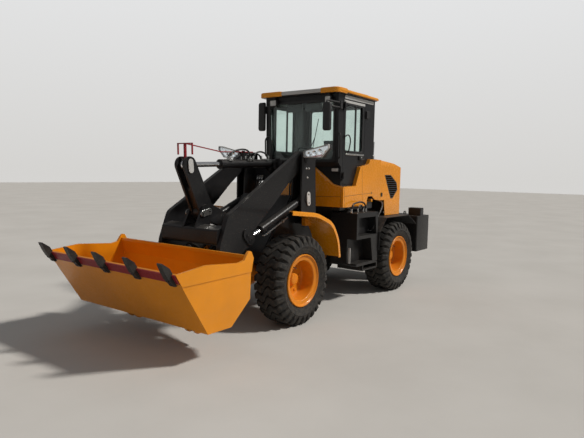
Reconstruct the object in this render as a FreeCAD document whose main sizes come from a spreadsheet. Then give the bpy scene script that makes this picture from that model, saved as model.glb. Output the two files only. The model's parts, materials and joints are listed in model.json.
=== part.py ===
import FreeCAD, Part
import math
import os
import re
from FreeCAD import Placement, Rotation, Vector

# A compact articulated wheel loader: rear body with cab and engine, front body with boom and bucket.
# +X is forward, +Y is left, +Z is up. Every outline is drawn about the steering pivot, on the ground,
# and each sub-part's placement moves it so that the origin lies under the middle of the whole machine.

doc = FreeCAD.newDocument("WheelLoader")
sheet = doc.addObject("Spreadsheet::Sheet", "Sizes")

# alias, millimetres or degrees, what it is
SIZES = [
    # running gear
    ("axle_reach", 1285, "steering pivot to either axle"),
    ("tyre_radius", 537.5, "wheel centre to the top of a lug"),
    ("tyre_width", 400, "tyre across its sidewalls"),
    ("tyre_centre", 750, "middle plane to the middle of a tyre"),
    ("lug_depth", 34, "height of a tread lug"),
    ("lug_count", 20, "lugs round the tread"),
    ("groove_width", 30, "groove between two lugs at the tread's middle"),
    ("shoulder_notch", 78, "groove between two lugs at the shoulder"),
    ("rim_radius", 300, "rim barrel that the tyre sits on"),
    ("rim_lip", 15, "rim flange above the barrel"),
    ("rim_gauge", 14, "rim wall"),
    ("rim_width", 300, "rim across its flanges"),
    ("disc_offset", -20, "wheel disc outboard of the rim's middle"),
    ("hub_radius", 105, "hub behind the wheel disc"),
    ("spindle_radius", 60, "axle spindle in the wheel's hub"),
    ("axle_tube_radius", 80, "axle housing tube"),
    ("axle_case_radius", 185, "differential case"),
    ("axle_flange", 560, "middle plane to the hub's inner end"),
    ("running_fit", 0.05, "radial clearance of a pin or spindle in its bore"),
    ("side_play", 5, "clearance beside a moving piece"),
    ("bead_gap", 0.3, "gap between a tyre's bead and its rim"),
    # front frame
    ("tower_inner", 395, "middle plane to the inner tower plate"),
    ("tower_inner_gauge", 25, "inner tower plate"),
    ("tower_outer", 530, "middle plane to the outer tower plate"),
    ("tower_outer_gauge", 25, "outer tower plate"),
    ("tower_top", 2080, "top of the towers"),
    ("tower_rear", 600, "rear edge of the towers"),
    ("frame_seat", 660, "underside of the front frame over its axle"),
    ("trunnion_radius", 52, "trunnion that lets the rear axle roll"),
    ("trunnion_height", 660, "height of the rear axle's trunnion"),
    ("pivot_upper", 1110, "height of the upper steering pivot"),
    ("pivot_lower", 660, "height of the lower steering pivot"),
    ("pivot_gauge", 40, "steering pivot plate"),
    ("pivot_radius", 95, "round end of a steering pivot plate"),
    ("pivot_pin_radius", 40, "steering pivot pin"),
    # loader arms
    ("boom_centre", 474, "middle plane to the middle of a boom plate"),
    ("boom_gauge", 60, "boom plate"),
    ("boom_pin_x", 780, "boom foot pin"),
    ("boom_pin_z", 1990, "boom foot pin"),
    ("hinge_pin_x", 2600, "bucket hinge pin"),
    ("hinge_pin_z", 225, "bucket hinge pin"),
    ("rocker_inner", 48, "middle plane to a rocker plate"),
    ("rocker_gauge", 28, "rocker plate"),
    ("rocker_pin_x", 2070, "rocker pin on the boom"),
    ("rocker_pin_z", 1350, "rocker pin on the boom"),
    ("rocker_top_x", 2330, "rocker fork over the tilt rod"),
    ("rocker_top_z", 1875, "rocker fork over the tilt rod"),
    ("link_front_x", 2448, "link pin on the bucket"),
    ("link_front_z", 300, "link pin on the bucket"),
    ("link_rear_x", 1630, "link eye at the rocker"),
    ("link_rear_z", 1186, "link eye at the rocker"),
    ("tilt_pin_x", 800, "foot of the tilt cylinder"),
    ("tilt_pin_z", 1930, "foot of the tilt cylinder"),
    ("lift_pin_x", 750, "foot of a lift cylinder"),
    ("lift_pin_z", 1480, "foot of a lift cylinder"),
    ("lift_eye_x", 1810, "lift rod eye under the boom"),
    ("lift_eye_z", 1045, "lift rod eye under the boom"),
    ("pin_radius", 28, "pins of the loader arms"),
    ("hub_wall", 52, "wall of a boss round its pin"),
    ("lift_barrel_radius", 49, "lift cylinder barrel"),
    ("lift_barrel_length", 915, "lift cylinder foot pin to its gland"),
    ("lift_rod_radius", 26, "lift cylinder rod"),
    ("tilt_barrel_radius", 52, "tilt cylinder barrel"),
    ("tilt_barrel_length", 1000, "tilt cylinder foot pin to its gland"),
    ("tilt_rod_radius", 30, "tilt cylinder rod"),
    ("level_height", 145, "level indicator's slide above the tilt cylinder's middle line"),
    ("level_slide_radius", 7, "level indicator's slide"),
    ("steer_barrel_radius", 34, "steering cylinder barrel"),
    ("steer_rod_radius", 18, "steering cylinder rod"),
    ("steer_height", 860, "height of the steering cylinders"),
    ("steer_foot_x", 560, "steering cylinder foot behind the pivot"),
    ("steer_foot_y", 230, "steering cylinder foot beside the middle plane"),
    ("steer_eye_x", 230, "steering rod eye ahead of the pivot"),
    ("steer_eye_y", 255, "steering rod eye beside the middle plane"),
    ("steer_barrel_length", 470, "steering cylinder foot pin to its gland"),
    # bucket
    ("bucket_half", 1035, "middle plane to the outside of the bucket"),
    ("bucket_plate", 16, "bucket shell plate"),
    ("bucket_side", 20, "bucket side plate"),
    ("tooth_tip_x", 3489, "foremost point of the teeth"),
    ("tooth_pitch", 479, "teeth along the cutting edge"),
    ("tooth_width", 62, "tooth at its root"),
    # rear frame
    ("rear_frame_half", 330, "middle plane to a rear frame plate"),
    ("rear_frame_gauge", 30, "rear frame plate"),
    ("rear_frame_top", 1150, "top of the rear frame"),
    ("weight_front", 2050, "counterweight front face behind the pivot"),
    ("weight_rear", 2570, "counterweight rear face behind the pivot"),
    ("weight_half", 860, "counterweight half width"),
    ("weight_bottom", 520, "counterweight underside"),
    ("weight_top", 1120, "counterweight top"),
    ("hitch_bore", 42, "tow pin bore across"),
    # cab and body
    ("cab_half", 630, "middle plane to the cab wall"),
    ("cab_wall", 45, "cab wall and posts"),
    ("cab_floor", 1300, "cab underside"),
    ("cab_top", 2890, "underside of the roof"),
    ("wheel_grip_radius", 14, "steering wheel's rim"),
    ("wheel_radius", 190, "steering wheel"),
    ("door_hinge_x", 42, "door hinges ahead of the steering pivot"),
    ("door_hinge_stand", 22, "door hinges outboard of the cab wall"),
    ("door_hinge_radius", 12, "door hinge barrel"),
    ("door_pin_radius", 6, "door hinge pin"),
    ("cab_rear", 850, "cab rear wall behind the pivot"),
    ("roof_gauge", 95, "roof from its underside to its crown"),
    ("roof_half", 690, "middle plane to the roof's side"),
    ("glass_gauge", 6, "window glass"),
    ("panel_half", 690, "middle plane to the outside of the orange panels"),
    ("panel_gauge", 12, "orange panels and hood shell"),
    ("panel_bottom", 1345, "lower edge of the orange panels"),
    ("panel_front", 95, "front face of the orange panels"),
    ("hood_front", 1000, "front edge of the lifting hood behind the pivot"),
    ("hood_rear", 1900, "rear face of the hood behind the pivot"),
    ("hood_corner", 280, "rounding of the hood's rear corners, seen from above"),
    ("hood_bottom", 1172, "lower edge of the hood over the rear wheels"),
    ("guard_top", 1160, "top of the rear mudguards"),
    ("hood_hinge_z", 2058, "hood hinge pin above the panels"),
    ("hood_pin_radius", 8, "hood hinge pin"),
    ("fender_inner", 556, "middle plane to a front fender's inner edge"),
    ("fender_outer", 970, "middle plane to a front fender's outer edge"),
    ("fender_gauge", 8, "front fender sheet"),
    ("tank_inner", 440, "middle plane to a tank's inner side"),
    ("tank_outer", 855, "middle plane to a tank's outer side"),
    ("guard_inner", 362, "middle plane to a rear mudguard's inner edge"),
    ("guard_outer", 880, "middle plane to a rear mudguard's outer edge"),
]

for number, (alias, amount, note) in enumerate(SIZES, start=1):
    sheet.set("A%d" % number, alias)
    sheet.set("B%d" % number, str(amount))
    sheet.set("C%d" % number, note)
    sheet.setAlias("B%d" % number, alias)
doc.recompute()


class Amounts:
    """The sheet's values as plain numbers, for the outlines."""


S = Amounts()
ALIASES = [alias for alias, amount, note in SIZES]
for alias in ALIASES:
    setattr(S, alias, float(sheet.get(alias)))

# The machine reaches from the counterweight's rear face to the tooth tips.
MIDDLE = "(tooth_tip_x - weight_rear) / 2"
VIEWS = {"plan": ("XY_Plane", 1), "side": ("XZ_Plane", -1), "front": ("YZ_Plane", 1)}
PARTS = []


def formula(text):
    """An expression with each alias named through the sheet."""
    return re.sub(r"\b([a-z][a-z_]+)\b", lambda m: "Sizes." + m.group(1) if m.group(1) in ALIASES else m.group(1), text)


def bind(thing, field, text):
    thing.setExpression(field, formula(text))


def ring(u, v, radius):
    """A circle in a sketch's own coordinates."""
    return [Part.Circle(Vector(u, v, 0), Vector(0, 0, 1), radius)]


def loop(points):
    """A closed outline of straight runs. A point is (u, v) or, with a rounded corner, (u, v, radius)."""
    corners = []
    count = len(points)
    for i, point in enumerate(points):
        here = Vector(point[0], point[1], 0)
        if len(point) == 2:
            corners.append((here, here, here))
            continue
        before = points[i - 1]
        after = points[(i + 1) % count]
        back = (Vector(before[0], before[1], 0) - here).normalize()
        on = (Vector(after[0], after[1], 0) - here).normalize()
        half = back.getAngle(on) / 2
        inner = here + (back + on).normalize() * (point[2] / math.sin(half))
        reach = point[2] / math.tan(half)
        corners.append((here + back * reach, inner - (inner - here).normalize() * point[2], here + on * reach))
    edges = []
    for i, (start, middle, end) in enumerate(corners):
        if (end - start).Length > 1e-6:
            edges.append(Part.Arc(start, middle, end))
        following = corners[(i + 1) % count][0]
        if (following - end).Length > 1e-6:
            edges.append(Part.LineSegment(end, following))
    return edges


def box_loop(u0, u1, v0, v1, radius=0):
    """A rectangle, its corners rounded when a radius is given."""
    tail = (radius,) if radius else ()
    return loop([(u0, v0) + tail, (u1, v0) + tail, (u1, v1) + tail, (u0, v1) + tail])


def capsule(u0, v0, u1, v1, radius):
    """A bar with round ends from one pin to the other."""
    along = Vector(u1 - u0, v1 - v0, 0).normalize()
    across = Vector(-along.y, along.x, 0) * radius
    a = Vector(u0, v0, 0)
    b = Vector(u1, v1, 0)
    return [
        Part.LineSegment(a + across, b + across),
        Part.Arc(b + across, b + along * radius, b - across),
        Part.LineSegment(b - across, a - across),
        Part.Arc(a - across, a - along * radius, a + across),
    ]


def taper_bar(u0, v0, r0, u1, v1, r1):
    """A bar with round ends of two radii, its sides tangent to both."""
    reach = math.hypot(u1 - u0, v1 - v0)
    heading = math.atan2(v1 - v0, u1 - u0)
    lean = math.acos((r0 - r1) / reach)
    def spot(u, v, r, angle):
        return Vector(u + r * math.cos(angle), v + r * math.sin(angle), 0)
    return [
        Part.LineSegment(spot(u0, v0, r0, heading + lean), spot(u1, v1, r1, heading + lean)),
        Part.Arc(spot(u1, v1, r1, heading + lean), spot(u1, v1, r1, heading), spot(u1, v1, r1, heading - lean)),
        Part.LineSegment(spot(u1, v1, r1, heading - lean), spot(u0, v0, r0, heading - lean)),
        Part.Arc(spot(u0, v0, r0, heading - lean), spot(u0, v0, r0, heading + math.pi), spot(u0, v0, r0, heading + lean)),
    ]


class Piece:
    """A body whose pads and pockets run along an axis of the machine from a start to a length."""

    def __init__(self, label, kept=True, middle=MIDDLE):
        self.body = doc.addObject("PartDesign::Body", label)
        self.label = label
        self.count = 0
        if kept:
            bind(self.body, "Placement.Base.x", "-(%s)" % middle)
            PARTS.append(self.body)

    def add(self, kind, word):
        self.count += 1
        return self.body.newObject(kind, "%s_%s_%d" % (self.label, word, self.count))

    def sketch(self, view, loops, start="0"):
        role, sign = VIEWS[view]
        drawing = self.add("Sketcher::SketchObject", "outline")
        planes = [f for f in self.body.Origin.OriginFeatures if f.Role == role]
        drawing.AttachmentSupport = [(planes[0], "")]
        drawing.MapMode = "FlatFace"
        bind(drawing, "AttachmentOffset.Base.z", "%d * (%s)" % (sign, start))
        for edges in loops:
            drawing.addGeometry(edges, False)
        return drawing

    def pad(self, view, loops, start, length):
        feature = self.add("PartDesign::Pad", "pad")
        feature.Profile = self.sketch(view, loops, start)
        feature.Reversed = VIEWS[view][1] < 0
        bind(feature, "Length", length)
        return feature

    def cut(self, view, loops, start, length):
        feature = self.add("PartDesign::Pocket", "cut")
        feature.Profile = self.sketch(view, loops, start)
        feature.Reversed = VIEWS[view][1] > 0
        bind(feature, "Length", length)
        return feature

    def turn(self, view, edges, line="H_Axis"):
        feature = self.add("PartDesign::Revolution", "turned")
        drawing = self.sketch(view, [edges])
        feature.Profile = drawing
        feature.ReferenceAxis = (drawing, [line])
        return feature

    def pair(self, view, loops, start, length):
        """The same pad on both sides of the middle plane, for the side view."""
        self.pad(view, loops, start, length)
        self.pad(view, loops, "-(%s) - (%s)" % (start, length), length)

    def pair_cut(self, view, loops, start, length):
        self.cut(view, loops, start, length)
        self.cut(view, loops, "-(%s) - (%s)" % (start, length), length)


# Wheels: tyre with wide stepped lugs, and a deep dished rim with its hub.
# The left front wheel is drawn; the others are its reflections in the middle plane and in the pivot's plane.

def place_wheel(piece):
    bind(piece.body, "Placement.Base.x", "axle_reach - %s" % MIDDLE)
    bind(piece.body, "Placement.Base.y", "tyre_centre")
    bind(piece.body, "Placement.Base.z", "tyre_radius")
    PARTS.append(piece.body)


def reflected(source, label, across_pivot):
    """A reflection of a piece: front to rear about the steering pivot, or left to right."""
    image = doc.addObject("Part::Mirroring", label)
    image.Source = source
    if across_pivot:
        image.Normal = Vector(1, 0, 0)
        bind(image, "Base.x", "-(%s)" % MIDDLE)
    else:
        image.Normal = Vector(0, 1, 0)
    PARTS.append(image)
    return image


def boolean(kind, label, base, tool):
    result = doc.addObject(kind, label)
    result.Base = base
    result.Tool = tool
    return result


def tyre():
    piece = Piece("tyre_front_left", kept=False)
    half = S.tyre_width / 2
    outside = S.tyre_radius
    bead = S.rim_radius + S.bead_gap
    flange = S.rim_radius + S.rim_lip + S.bead_gap
    edge = S.rim_width / 2
    near = [
        (edge - S.rim_gauge - 10, bead), (edge - S.rim_gauge, flange), (edge, flange), (half - 8, bead + 70),
        (half, outside - 100), (half - 12, outside - 46), (half - 62, outside),
    ]
    piece.turn("front", loop(near + [(-u, v) for u, v in reversed(near)]))
    # One groove steps forward across the tread and widens to a notch at each shoulder.
    step = 42
    narrow = S.groove_width / 2
    notch = S.shoulder_notch / 2
    back = [(-step - notch, -half - 5), (-step - narrow, 80 - half), (-step - narrow, -26), (step - narrow, 26),
            (step - narrow, half - 80), (step - notch, half + 5)]
    groove = back + [(-u, -v) for u, v in back]
    pocket = piece.cut("plan", [loop(groove)], "tyre_radius - lug_depth", "lug_depth + 10")
    grooves = piece.add("PartDesign::PolarPattern", "grooves")
    grooves.Originals = [pocket]
    grooves.Axis = ([f for f in piece.body.Origin.OriginFeatures if f.Role == "Y_Axis"][0], [""])
    bind(grooves, "Occurrences", "lug_count")
    piece.body.Tip = grooves
    place_wheel(piece)
    return piece.body


def rim():
    piece = Piece("rim_front_left", kept=False)
    edge = S.rim_width / 2
    barrel = S.rim_radius
    inside = barrel - S.rim_gauge
    disc = S.disc_offset
    hub = S.hub_radius
    profile = [
        (-edge, barrel + S.rim_lip), (-edge + S.rim_gauge, barrel + S.rim_lip), (-edge + S.rim_gauge + 10, barrel),
        (edge - S.rim_gauge - 10, barrel), (edge - S.rim_gauge, barrel + S.rim_lip), (edge, barrel + S.rim_lip),
        (edge, barrel - 6), (edge - 34, inside - 12), (edge - 56, inside - 28), (disc + 16, 196), (disc + 8, 100),
        (disc + 30, 90), (disc + 34, 0), (disc - 60, 0), (disc - 60, hub), (disc - 8, 120), (disc - 4, 204),
        (edge - 66, inside - 14), (edge - 90, inside), (-edge + 4, inside), (-edge, barrel - 4),
    ]
    piece.turn("front", loop(profile))
    piece.cut("side", [ring(0, 0, S.spindle_radius + S.running_fit)], "disc_offset - 60", "90")
    place_wheel(piece)
    return piece.body


for kind, left_front in (("tyre", tyre()), ("rim", rim())):
    right_front = reflected(left_front, kind + "_front_right", False)
    reflected(left_front, kind + "_rear_left", True)
    reflected(right_front, kind + "_rear_right", True)


# Axles: differential case, tubes, brake flanges and the spindles that carry the wheels.

def axle(label, ahead):
    piece = Piece(label, kept=False)
    case = S.axle_case_radius
    tube = S.axle_tube_radius
    flange = S.axle_flange
    spindle = S.spindle_radius
    inner_end = S.tyre_centre + S.disc_offset - 60
    half = [
        (0, case), (70, case - 18), (135, case - 70), (200, tube + 14), (flange - 120, tube), (flange - 100, tube + 34),
        (flange, tube + 50), (flange, 92), (inner_end - 20, 86), (inner_end - 5, spindle), (inner_end + 80, spindle),
        (inner_end + 80, 0),
    ]
    piece.turn("front", loop(list(reversed(half)) + [(-u, v) for u, v in half[1:]]))
    nose = 250
    piece.pad("front", [ring(0, 0, 88)], "%g" % (-nose if ahead > 0 else 0), "%g" % nose)
    piece.pad("front", [ring(0, 0, 62)], "%g" % (-nose - 40 if ahead > 0 else nose), "40")
    if ahead > 0:
        saddle = box_loop(-120, 120, 0, S.frame_seat - S.tyre_radius)
        piece.pair("side", [saddle], "tower_inner - 10", "tower_inner_gauge + 30")
    else:
        rise = S.trunnion_height - S.tyre_radius
        piece.pad("side", [loop([(-90, 60), (90, 60), (60, rise), (-60, rise)])], "-150", "300")
        piece.pad("front", [ring(0, rise, S.trunnion_radius)], "-215", "430")
    bind(piece.body, "Placement.Base.x", "%d * axle_reach - %s" % (ahead, MIDDLE))
    bind(piece.body, "Placement.Base.z", "tyre_radius")
    PARTS.append(piece.body)


axle("front_axle", 1)
axle("rear_axle", -1)


# Front frame: four tower plates, cross members, axle seat and the steering pivot plates.

def front_frame():
    piece = Piece("front_frame")
    back = S.tower_rear
    top = S.tower_top
    inner = [
        (back + 40, top, 55), (back + 285, top, 55), (back + 300, 1500, 80), (1480, 830, 60), (1480, S.frame_seat),
        (1100, S.frame_seat), (430, S.frame_seat - 40), (430, 1150), (back, 1420, 60),
    ]
    piece.pair("side", [loop(inner)], "tower_inner", "tower_inner_gauge")
    outer = [
        (back, top, 60), (back + 285, top, 60), (back + 290, 1300), (back + 240, 1160), (back - 40, 1160),
        (back - 40, 1310),
    ]
    piece.pair("side", [loop(outer)], "tower_outer", "tower_outer_gauge")
    web = box_loop(back, back + 15, 1175, 1860)
    piece.pair("side", [web], "tower_inner + 10", "tower_outer - tower_inner")
    floor = box_loop(back - 40, back + 240, 1160, 1178)
    piece.pair("side", [floor], "tower_inner + 10", "tower_outer - tower_inner")
    span = "-tower_inner - 5"
    width = "2 * tower_inner + 10"
    piece.pad("side", [box_loop(back + 30, back + 90, 1690, 1960)], span, width)
    piece.pad("side", [box_loop(430, 455, S.frame_seat - 40, 1150)], span, width)
    piece.pad("side", [box_loop(440, 1060, S.frame_seat, S.frame_seat + 25)], span, width)
    shield = loop([(back + 290, 1520), (back + 310, 1520), (1475, 845), (1475, 700), (1455, 700), (1455, 830)])
    piece.pad("side", [shield], span, width)
    eye = loop([(back + 80, S.tilt_pin_z - 190), (S.tilt_pin_x + 62, S.tilt_pin_z - 62),
                (S.tilt_pin_x + 62, S.tilt_pin_z + 62, 60), (S.tilt_pin_x - 62, S.tilt_pin_z + 62, 60),
                (back + 80, S.tilt_pin_z + 20)])
    piece.pair("side", [eye], "62", "22")
    for height in (S.pivot_upper, S.pivot_lower):
        plate = [
            Part.LineSegment(Vector(440, 330, 0), Vector(440, -330, 0)),
            Part.LineSegment(Vector(440, -330, 0), Vector(0, -S.pivot_radius, 0)),
            Part.Arc(Vector(0, -S.pivot_radius, 0), Vector(-S.pivot_radius, 0, 0), Vector(0, S.pivot_radius, 0)),
            Part.LineSegment(Vector(0, S.pivot_radius, 0), Vector(440, 330, 0)),
        ]
        bore = ring(0, 0, S.pivot_pin_radius + S.running_fit)
        piece.pad("plan", [plate, bore], "%g - pivot_gauge / 2" % height, "pivot_gauge")
    for side in (1, -1):
        lug = [(S.steer_eye_x - 45, side * S.steer_eye_y - 48), (445, side * S.steer_eye_y - 70),
               (445, side * S.steer_eye_y + 70), (S.steer_eye_x - 45, side * S.steer_eye_y + 48)]
        for start in ("steer_height + 36", "steer_height - 56"):
            piece.pad("plan", [loop(lug)], start, "20")
    pins = [(S.boom_pin_x, S.boom_pin_z), (S.lift_pin_x, S.lift_pin_z)]
    for x, z in pins:
        piece.pair("side", [ring(x, z, S.pin_radius)], "tower_inner - 8", "tower_outer + tower_outer_gauge - tower_inner + 20")
        piece.pair("side", [ring(x, z, S.pin_radius + 34)], "tower_outer + tower_outer_gauge - 1", "10")
    piece.pad("side", [ring(S.tilt_pin_x, S.tilt_pin_z, S.pin_radius)], "-92", "184")


front_frame()


# Bent fenders over the front tyres, with a folded lip along the outer edge.

FENDER_BEND = [(1620, 1386), (1115, 1339), (763, 1209), (572, 753)]


def band(points, gauge):
    """A strip of sheet along a bent line, its thickness below the line."""
    lower = []
    for i, (u, v) in enumerate(points):
        before = points[max(i - 1, 0)]
        after = points[min(i + 1, len(points) - 1)]
        run = Vector(after[0] - before[0], after[1] - before[1], 0).normalize()
        lower.append((u - run.y * gauge, v + run.x * gauge))
    return loop(list(points) + list(reversed(lower)))


def front_fenders():
    piece = Piece("front_fenders")
    piece.pair("side", [band(FENDER_BEND, S.fender_gauge)], "fender_inner", "fender_outer - fender_inner")
    piece.pair("side", [band(FENDER_BEND, 50)], "fender_outer - fender_gauge", "fender_gauge")
    for side in (1, -1):
        corner = [(1640, 540), (1640, 945), (1620, 930), (1115, S.fender_inner), (1095, 540)]
        piece.cut("plan", [loop([(x, side * y) for x, y in corner])], "1200", "300")
    bracket = [(700, 1150), (860, 1150), (860, 1235), (700, 1180)]
    piece.pair("side", [loop(bracket)], "tower_outer + tower_outer_gauge", "50")


front_fenders()


def headlamps():
    """Swept lamp housings outboard of the tower tops."""
    piece = Piece("headlamps")
    inner = S.tower_outer + S.tower_outer_gauge
    lamp = [(inner, 2056), (inner, 2085), (930, 2172), (935, 2120), (830, 2003), (inner + 20, 2003), (inner + 20, 2056)]
    for side in (1, -1):
        outline = [(side * y, z) for y, z in lamp]
        piece.pad("front", [loop(outline)], "boom_pin_x - 20", "110")


headlamps()


# Loader arms: boom, rocker, link and bucket, drawn with the bucket low and rolled right back.

def boom():
    piece = Piece("boom")
    plate = [
        (790, 2075, 40), (855, 2085, 40), (1815, 1534, 80), (2170, 1330, 120), (2290, 1010, 150), (2350, 546, 60),
        (S.hinge_pin_x + 52, S.hinge_pin_z + 61, 40), (S.hinge_pin_x + 70, S.hinge_pin_z - 40, 60),
        (S.hinge_pin_x - 30, S.hinge_pin_z - 84, 60), (2100, 760, 120), (1880, 935, 60), (1740, 975, 50),
        (1720, 1160, 60), (1389, 1421, 80), (1144, 1640, 100), (800, 1900, 80), (705, 1935, 40), (700, 2040, 60),
    ]
    piece.pair("side", [loop(plate)], "boom_centre - boom_gauge / 2", "boom_gauge")
    boss = S.pin_radius + S.hub_wall
    piece.pair("side", [ring(S.boom_pin_x, S.boom_pin_z, boss)], "boom_centre - 50", "100")
    piece.pair("side", [ring(S.hinge_pin_x, S.hinge_pin_z, boss)], "boom_centre - 45", "90")
    # The rod's eye swings below its pin on the way up, so the slot has a lower lobe.
    for start, end, radius in (((0, 0), (-300, 123), 68), ((0, 0), (-76, -72), 70), ((-76, -72), (-380, 78), 70)):
        slot = capsule(S.lift_eye_x + start[0], S.lift_eye_z + start[1], S.lift_eye_x + end[0], S.lift_eye_z + end[1], radius)
        piece.pair_cut("side", [slot], "boom_centre - boom_gauge / 2 - 1", "boom_gauge + 2")
    cheek = capsule(S.lift_eye_x, S.lift_eye_z, S.lift_eye_x + 60, S.lift_eye_z + 60, 66)
    piece.pair("side", [cheek], "boom_centre + boom_gauge / 2", "18")
    piece.pair("side", [cheek], "boom_centre - boom_gauge / 2 - 18", "18")
    member = [(2110, 1220, 30), (2285, 1180, 30), (2290, 1010, 30), (2200, 985, 30), (2110, 1060, 30)]
    span = "-boom_centre + boom_gauge / 2 - 5"
    piece.pad("side", [loop(member)], span, "2 * boom_centre - boom_gauge + 10")
    bracket = [
        (S.rocker_pin_x - 85, S.rocker_pin_z + 85, 80), (S.rocker_pin_x + 85, S.rocker_pin_z + 85, 80),
        (2280, 1180), (2290, 1010, 30), (2200, 985, 30), (2100, 1080),
    ]
    piece.pair("side", [loop(bracket)], "rocker_inner + rocker_gauge + side_play + 3", "28")
    piece.pad("side", [ring(S.rocker_pin_x, S.rocker_pin_z, S.pin_radius)], "-rocker_inner - rocker_gauge - 46",
              "2 * rocker_inner + 2 * rocker_gauge + 92")
    for x, z, half in ((S.boom_pin_x, S.boom_pin_z, 50), (S.hinge_pin_x, S.hinge_pin_z, 45)):
        bore = ring(x, z, S.pin_radius + S.running_fit)
        piece.pair_cut("side", [bore], "boom_centre - %g" % half, "%g" % (2 * half))


def rocker():
    """Two bent side plates on a hub: a fork for the tilt rod above, a fork for the link behind."""
    piece = Piece("rocker")
    pin = (S.rocker_pin_x, S.rocker_pin_z)
    upper = taper_bar(pin[0], pin[1], 105, S.rocker_top_x, S.rocker_top_z, 92)
    lower = taper_bar(pin[0], pin[1], 105, S.link_rear_x, S.link_rear_z, 66)
    piece.pair("side", [upper], "rocker_inner", "rocker_gauge")
    piece.pair("side", [lower], "rocker_inner", "rocker_gauge")
    piece.pad("side", [ring(pin[0], pin[1], 105)], "-rocker_inner - rocker_gauge", "2 * rocker_inner + 2 * rocker_gauge")
    web = taper_bar(pin[0], pin[1], 80, (pin[0] + S.rocker_top_x) / 2, (pin[1] + S.rocker_top_z) / 2, 70)
    piece.pad("side", [web], "-rocker_inner - 1", "2 * rocker_inner + 2")
    piece.cut("side", [ring(pin[0], pin[1], S.pin_radius + S.running_fit)], "-rocker_inner - rocker_gauge - 4",
              "2 * rocker_inner + 2 * rocker_gauge + 8")
    for x, z in ((S.rocker_top_x, S.rocker_top_z), (S.link_rear_x, S.link_rear_z)):
        piece.pair("side", [ring(x, z, S.pin_radius + 14)], "rocker_inner + rocker_gauge", "8")


def link():
    piece = Piece("link")
    bar = capsule(S.link_front_x, S.link_front_z, S.link_rear_x, S.link_rear_z, 38)
    piece.pad("side", [bar], "-20", "40")
    for x, z in ((S.link_front_x, S.link_front_z), (S.link_rear_x, S.link_rear_z)):
        piece.pad("side", [ring(x, z, S.pin_radius + 24)], "-24", "48")
    bore = ring(S.link_front_x, S.link_front_z, S.pin_radius + S.running_fit)
    piece.cut("side", [bore], "-30", "60")


boom()
rocker()
link()

# The bucket is drawn in its own directions: along the floor plate to the lip, and outward through the floor.
FLOOR = Vector(0.540, 0.8415, 0).normalize()
OUTWARD = Vector(FLOOR.y, -FLOOR.x, 0)
TOOTH_REACH = 150
TOOTH_DROP = 44
LIP = Vector(S.tooth_tip_x - FLOOR.x * TOOTH_REACH - OUTWARD.x * TOOTH_DROP, 922, 0)
BUCKET_TOE = (2978, 311)
BUCKET_BACK = [(2667, 313), (2398, 543), (2388, 814)]
BUCKET_SPILL = (2432, 985)


def from_lip(along, outward):
    """A point a distance back or forward along the floor from the lip, and outward through the floor."""
    spot = LIP + FLOOR * along + OUTWARD * outward
    return (spot.x, spot.y)


def offset_path(points, gauge):
    """The line a sheet's thickness inside a bent line, with mitred corners."""
    shifted = []
    for i, (u, v) in enumerate(points):
        here = Vector(u, v, 0)
        runs = []
        if i > 0:
            runs.append((here - Vector(points[i - 1][0], points[i - 1][1], 0)).normalize())
        if i < len(points) - 1:
            runs.append((Vector(points[i + 1][0], points[i + 1][1], 0) - here).normalize())
        normals = [Vector(run.y, -run.x, 0) for run in runs]
        total = normals[0] + normals[-1]
        total.normalize()
        reach = gauge / total.dot(normals[0])
        shifted.append((u + total.x * reach, v + total.y * reach))
    return shifted


def bucket():
    piece = Piece("bucket")
    shell = [(LIP.x, LIP.y), BUCKET_TOE] + BUCKET_BACK + [BUCKET_SPILL]
    inner = offset_path(shell, S.bucket_plate)
    piece.pad("side", [loop(shell + list(reversed(inner)))], "-bucket_half + 8", "2 * bucket_half - 16")
    ear = [(2359, 953), (2408, 1052, 34), (2455, 1004), (2498, 944), (2577, 928), (3006, 962)]
    side = [(LIP.x, LIP.y), BUCKET_TOE] + BUCKET_BACK + ear
    piece.pair("side", [loop(side)], "bucket_half - bucket_side - 8", "bucket_side")
    strip = [(LIP.x, LIP.y), from_lip(-140, 0), (2388, 814)] + ear
    piece.pair("side", [loop(strip)], "bucket_half - 8", "8")
    rail = [(2420, 985), (2448, 985), (2448, 950), (2412, 950)]
    piece.pad("side", [loop(rail)], "-bucket_half + 20", "2 * bucket_half - 40")
    hinge = [
        (2930, 313), (2640, 313), (2480, 473), (S.hinge_pin_x - 84, S.hinge_pin_z + 45, 70),
        (S.hinge_pin_x - 50, S.hinge_pin_z - 80, 70), (S.hinge_pin_x + 60, S.hinge_pin_z - 80, 60), (2720, 200),
    ]
    piece.pair("side", [loop(hinge)], "boom_centre + 45 + side_play", "22")
    piece.pair("side", [loop(hinge)], "boom_centre - 45 - side_play - 22", "22")
    piece.pair("side", [ring(S.hinge_pin_x, S.hinge_pin_z, S.pin_radius)], "boom_centre - 75", "150")
    lug = [
        (2660, 319), (2398, 543), (S.link_front_x - 62, S.link_front_z + 30, 50),
        (S.link_front_x - 40, S.link_front_z - 60, 50), (S.link_front_x + 70, S.link_front_z - 40, 40),
    ]
    piece.pair("side", [loop(lug)], "30", "24")
    piece.pad("side", [ring(S.link_front_x, S.link_front_z, S.pin_radius)], "-62", "124")


def bucket_edge():
    piece = Piece("bucket_edge")
    plate = [from_lip(0, 0), from_lip(0, 12), from_lip(-95, 12), from_lip(-105, 0)]
    piece.pad("side", [loop(plate)], "-bucket_half + 8", "2 * bucket_half - 16")


def bucket_teeth():
    piece = Piece("bucket_teeth")
    profile = [(-124, 12), (-112, 34), (-10, 56), (70, 54), (TOOTH_REACH, TOOTH_DROP), (TOOTH_REACH - 2, 32),
               (60, -8), (1, -8), (1, 12)]
    outline = loop([from_lip(a, b) for a, b in profile])
    for place in range(-2, 3):
        piece.pad("side", [outline], "%d * tooth_pitch - tooth_width / 2" % place, "tooth_width")


bucket()
bucket_edge()
bucket_teeth()


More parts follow.
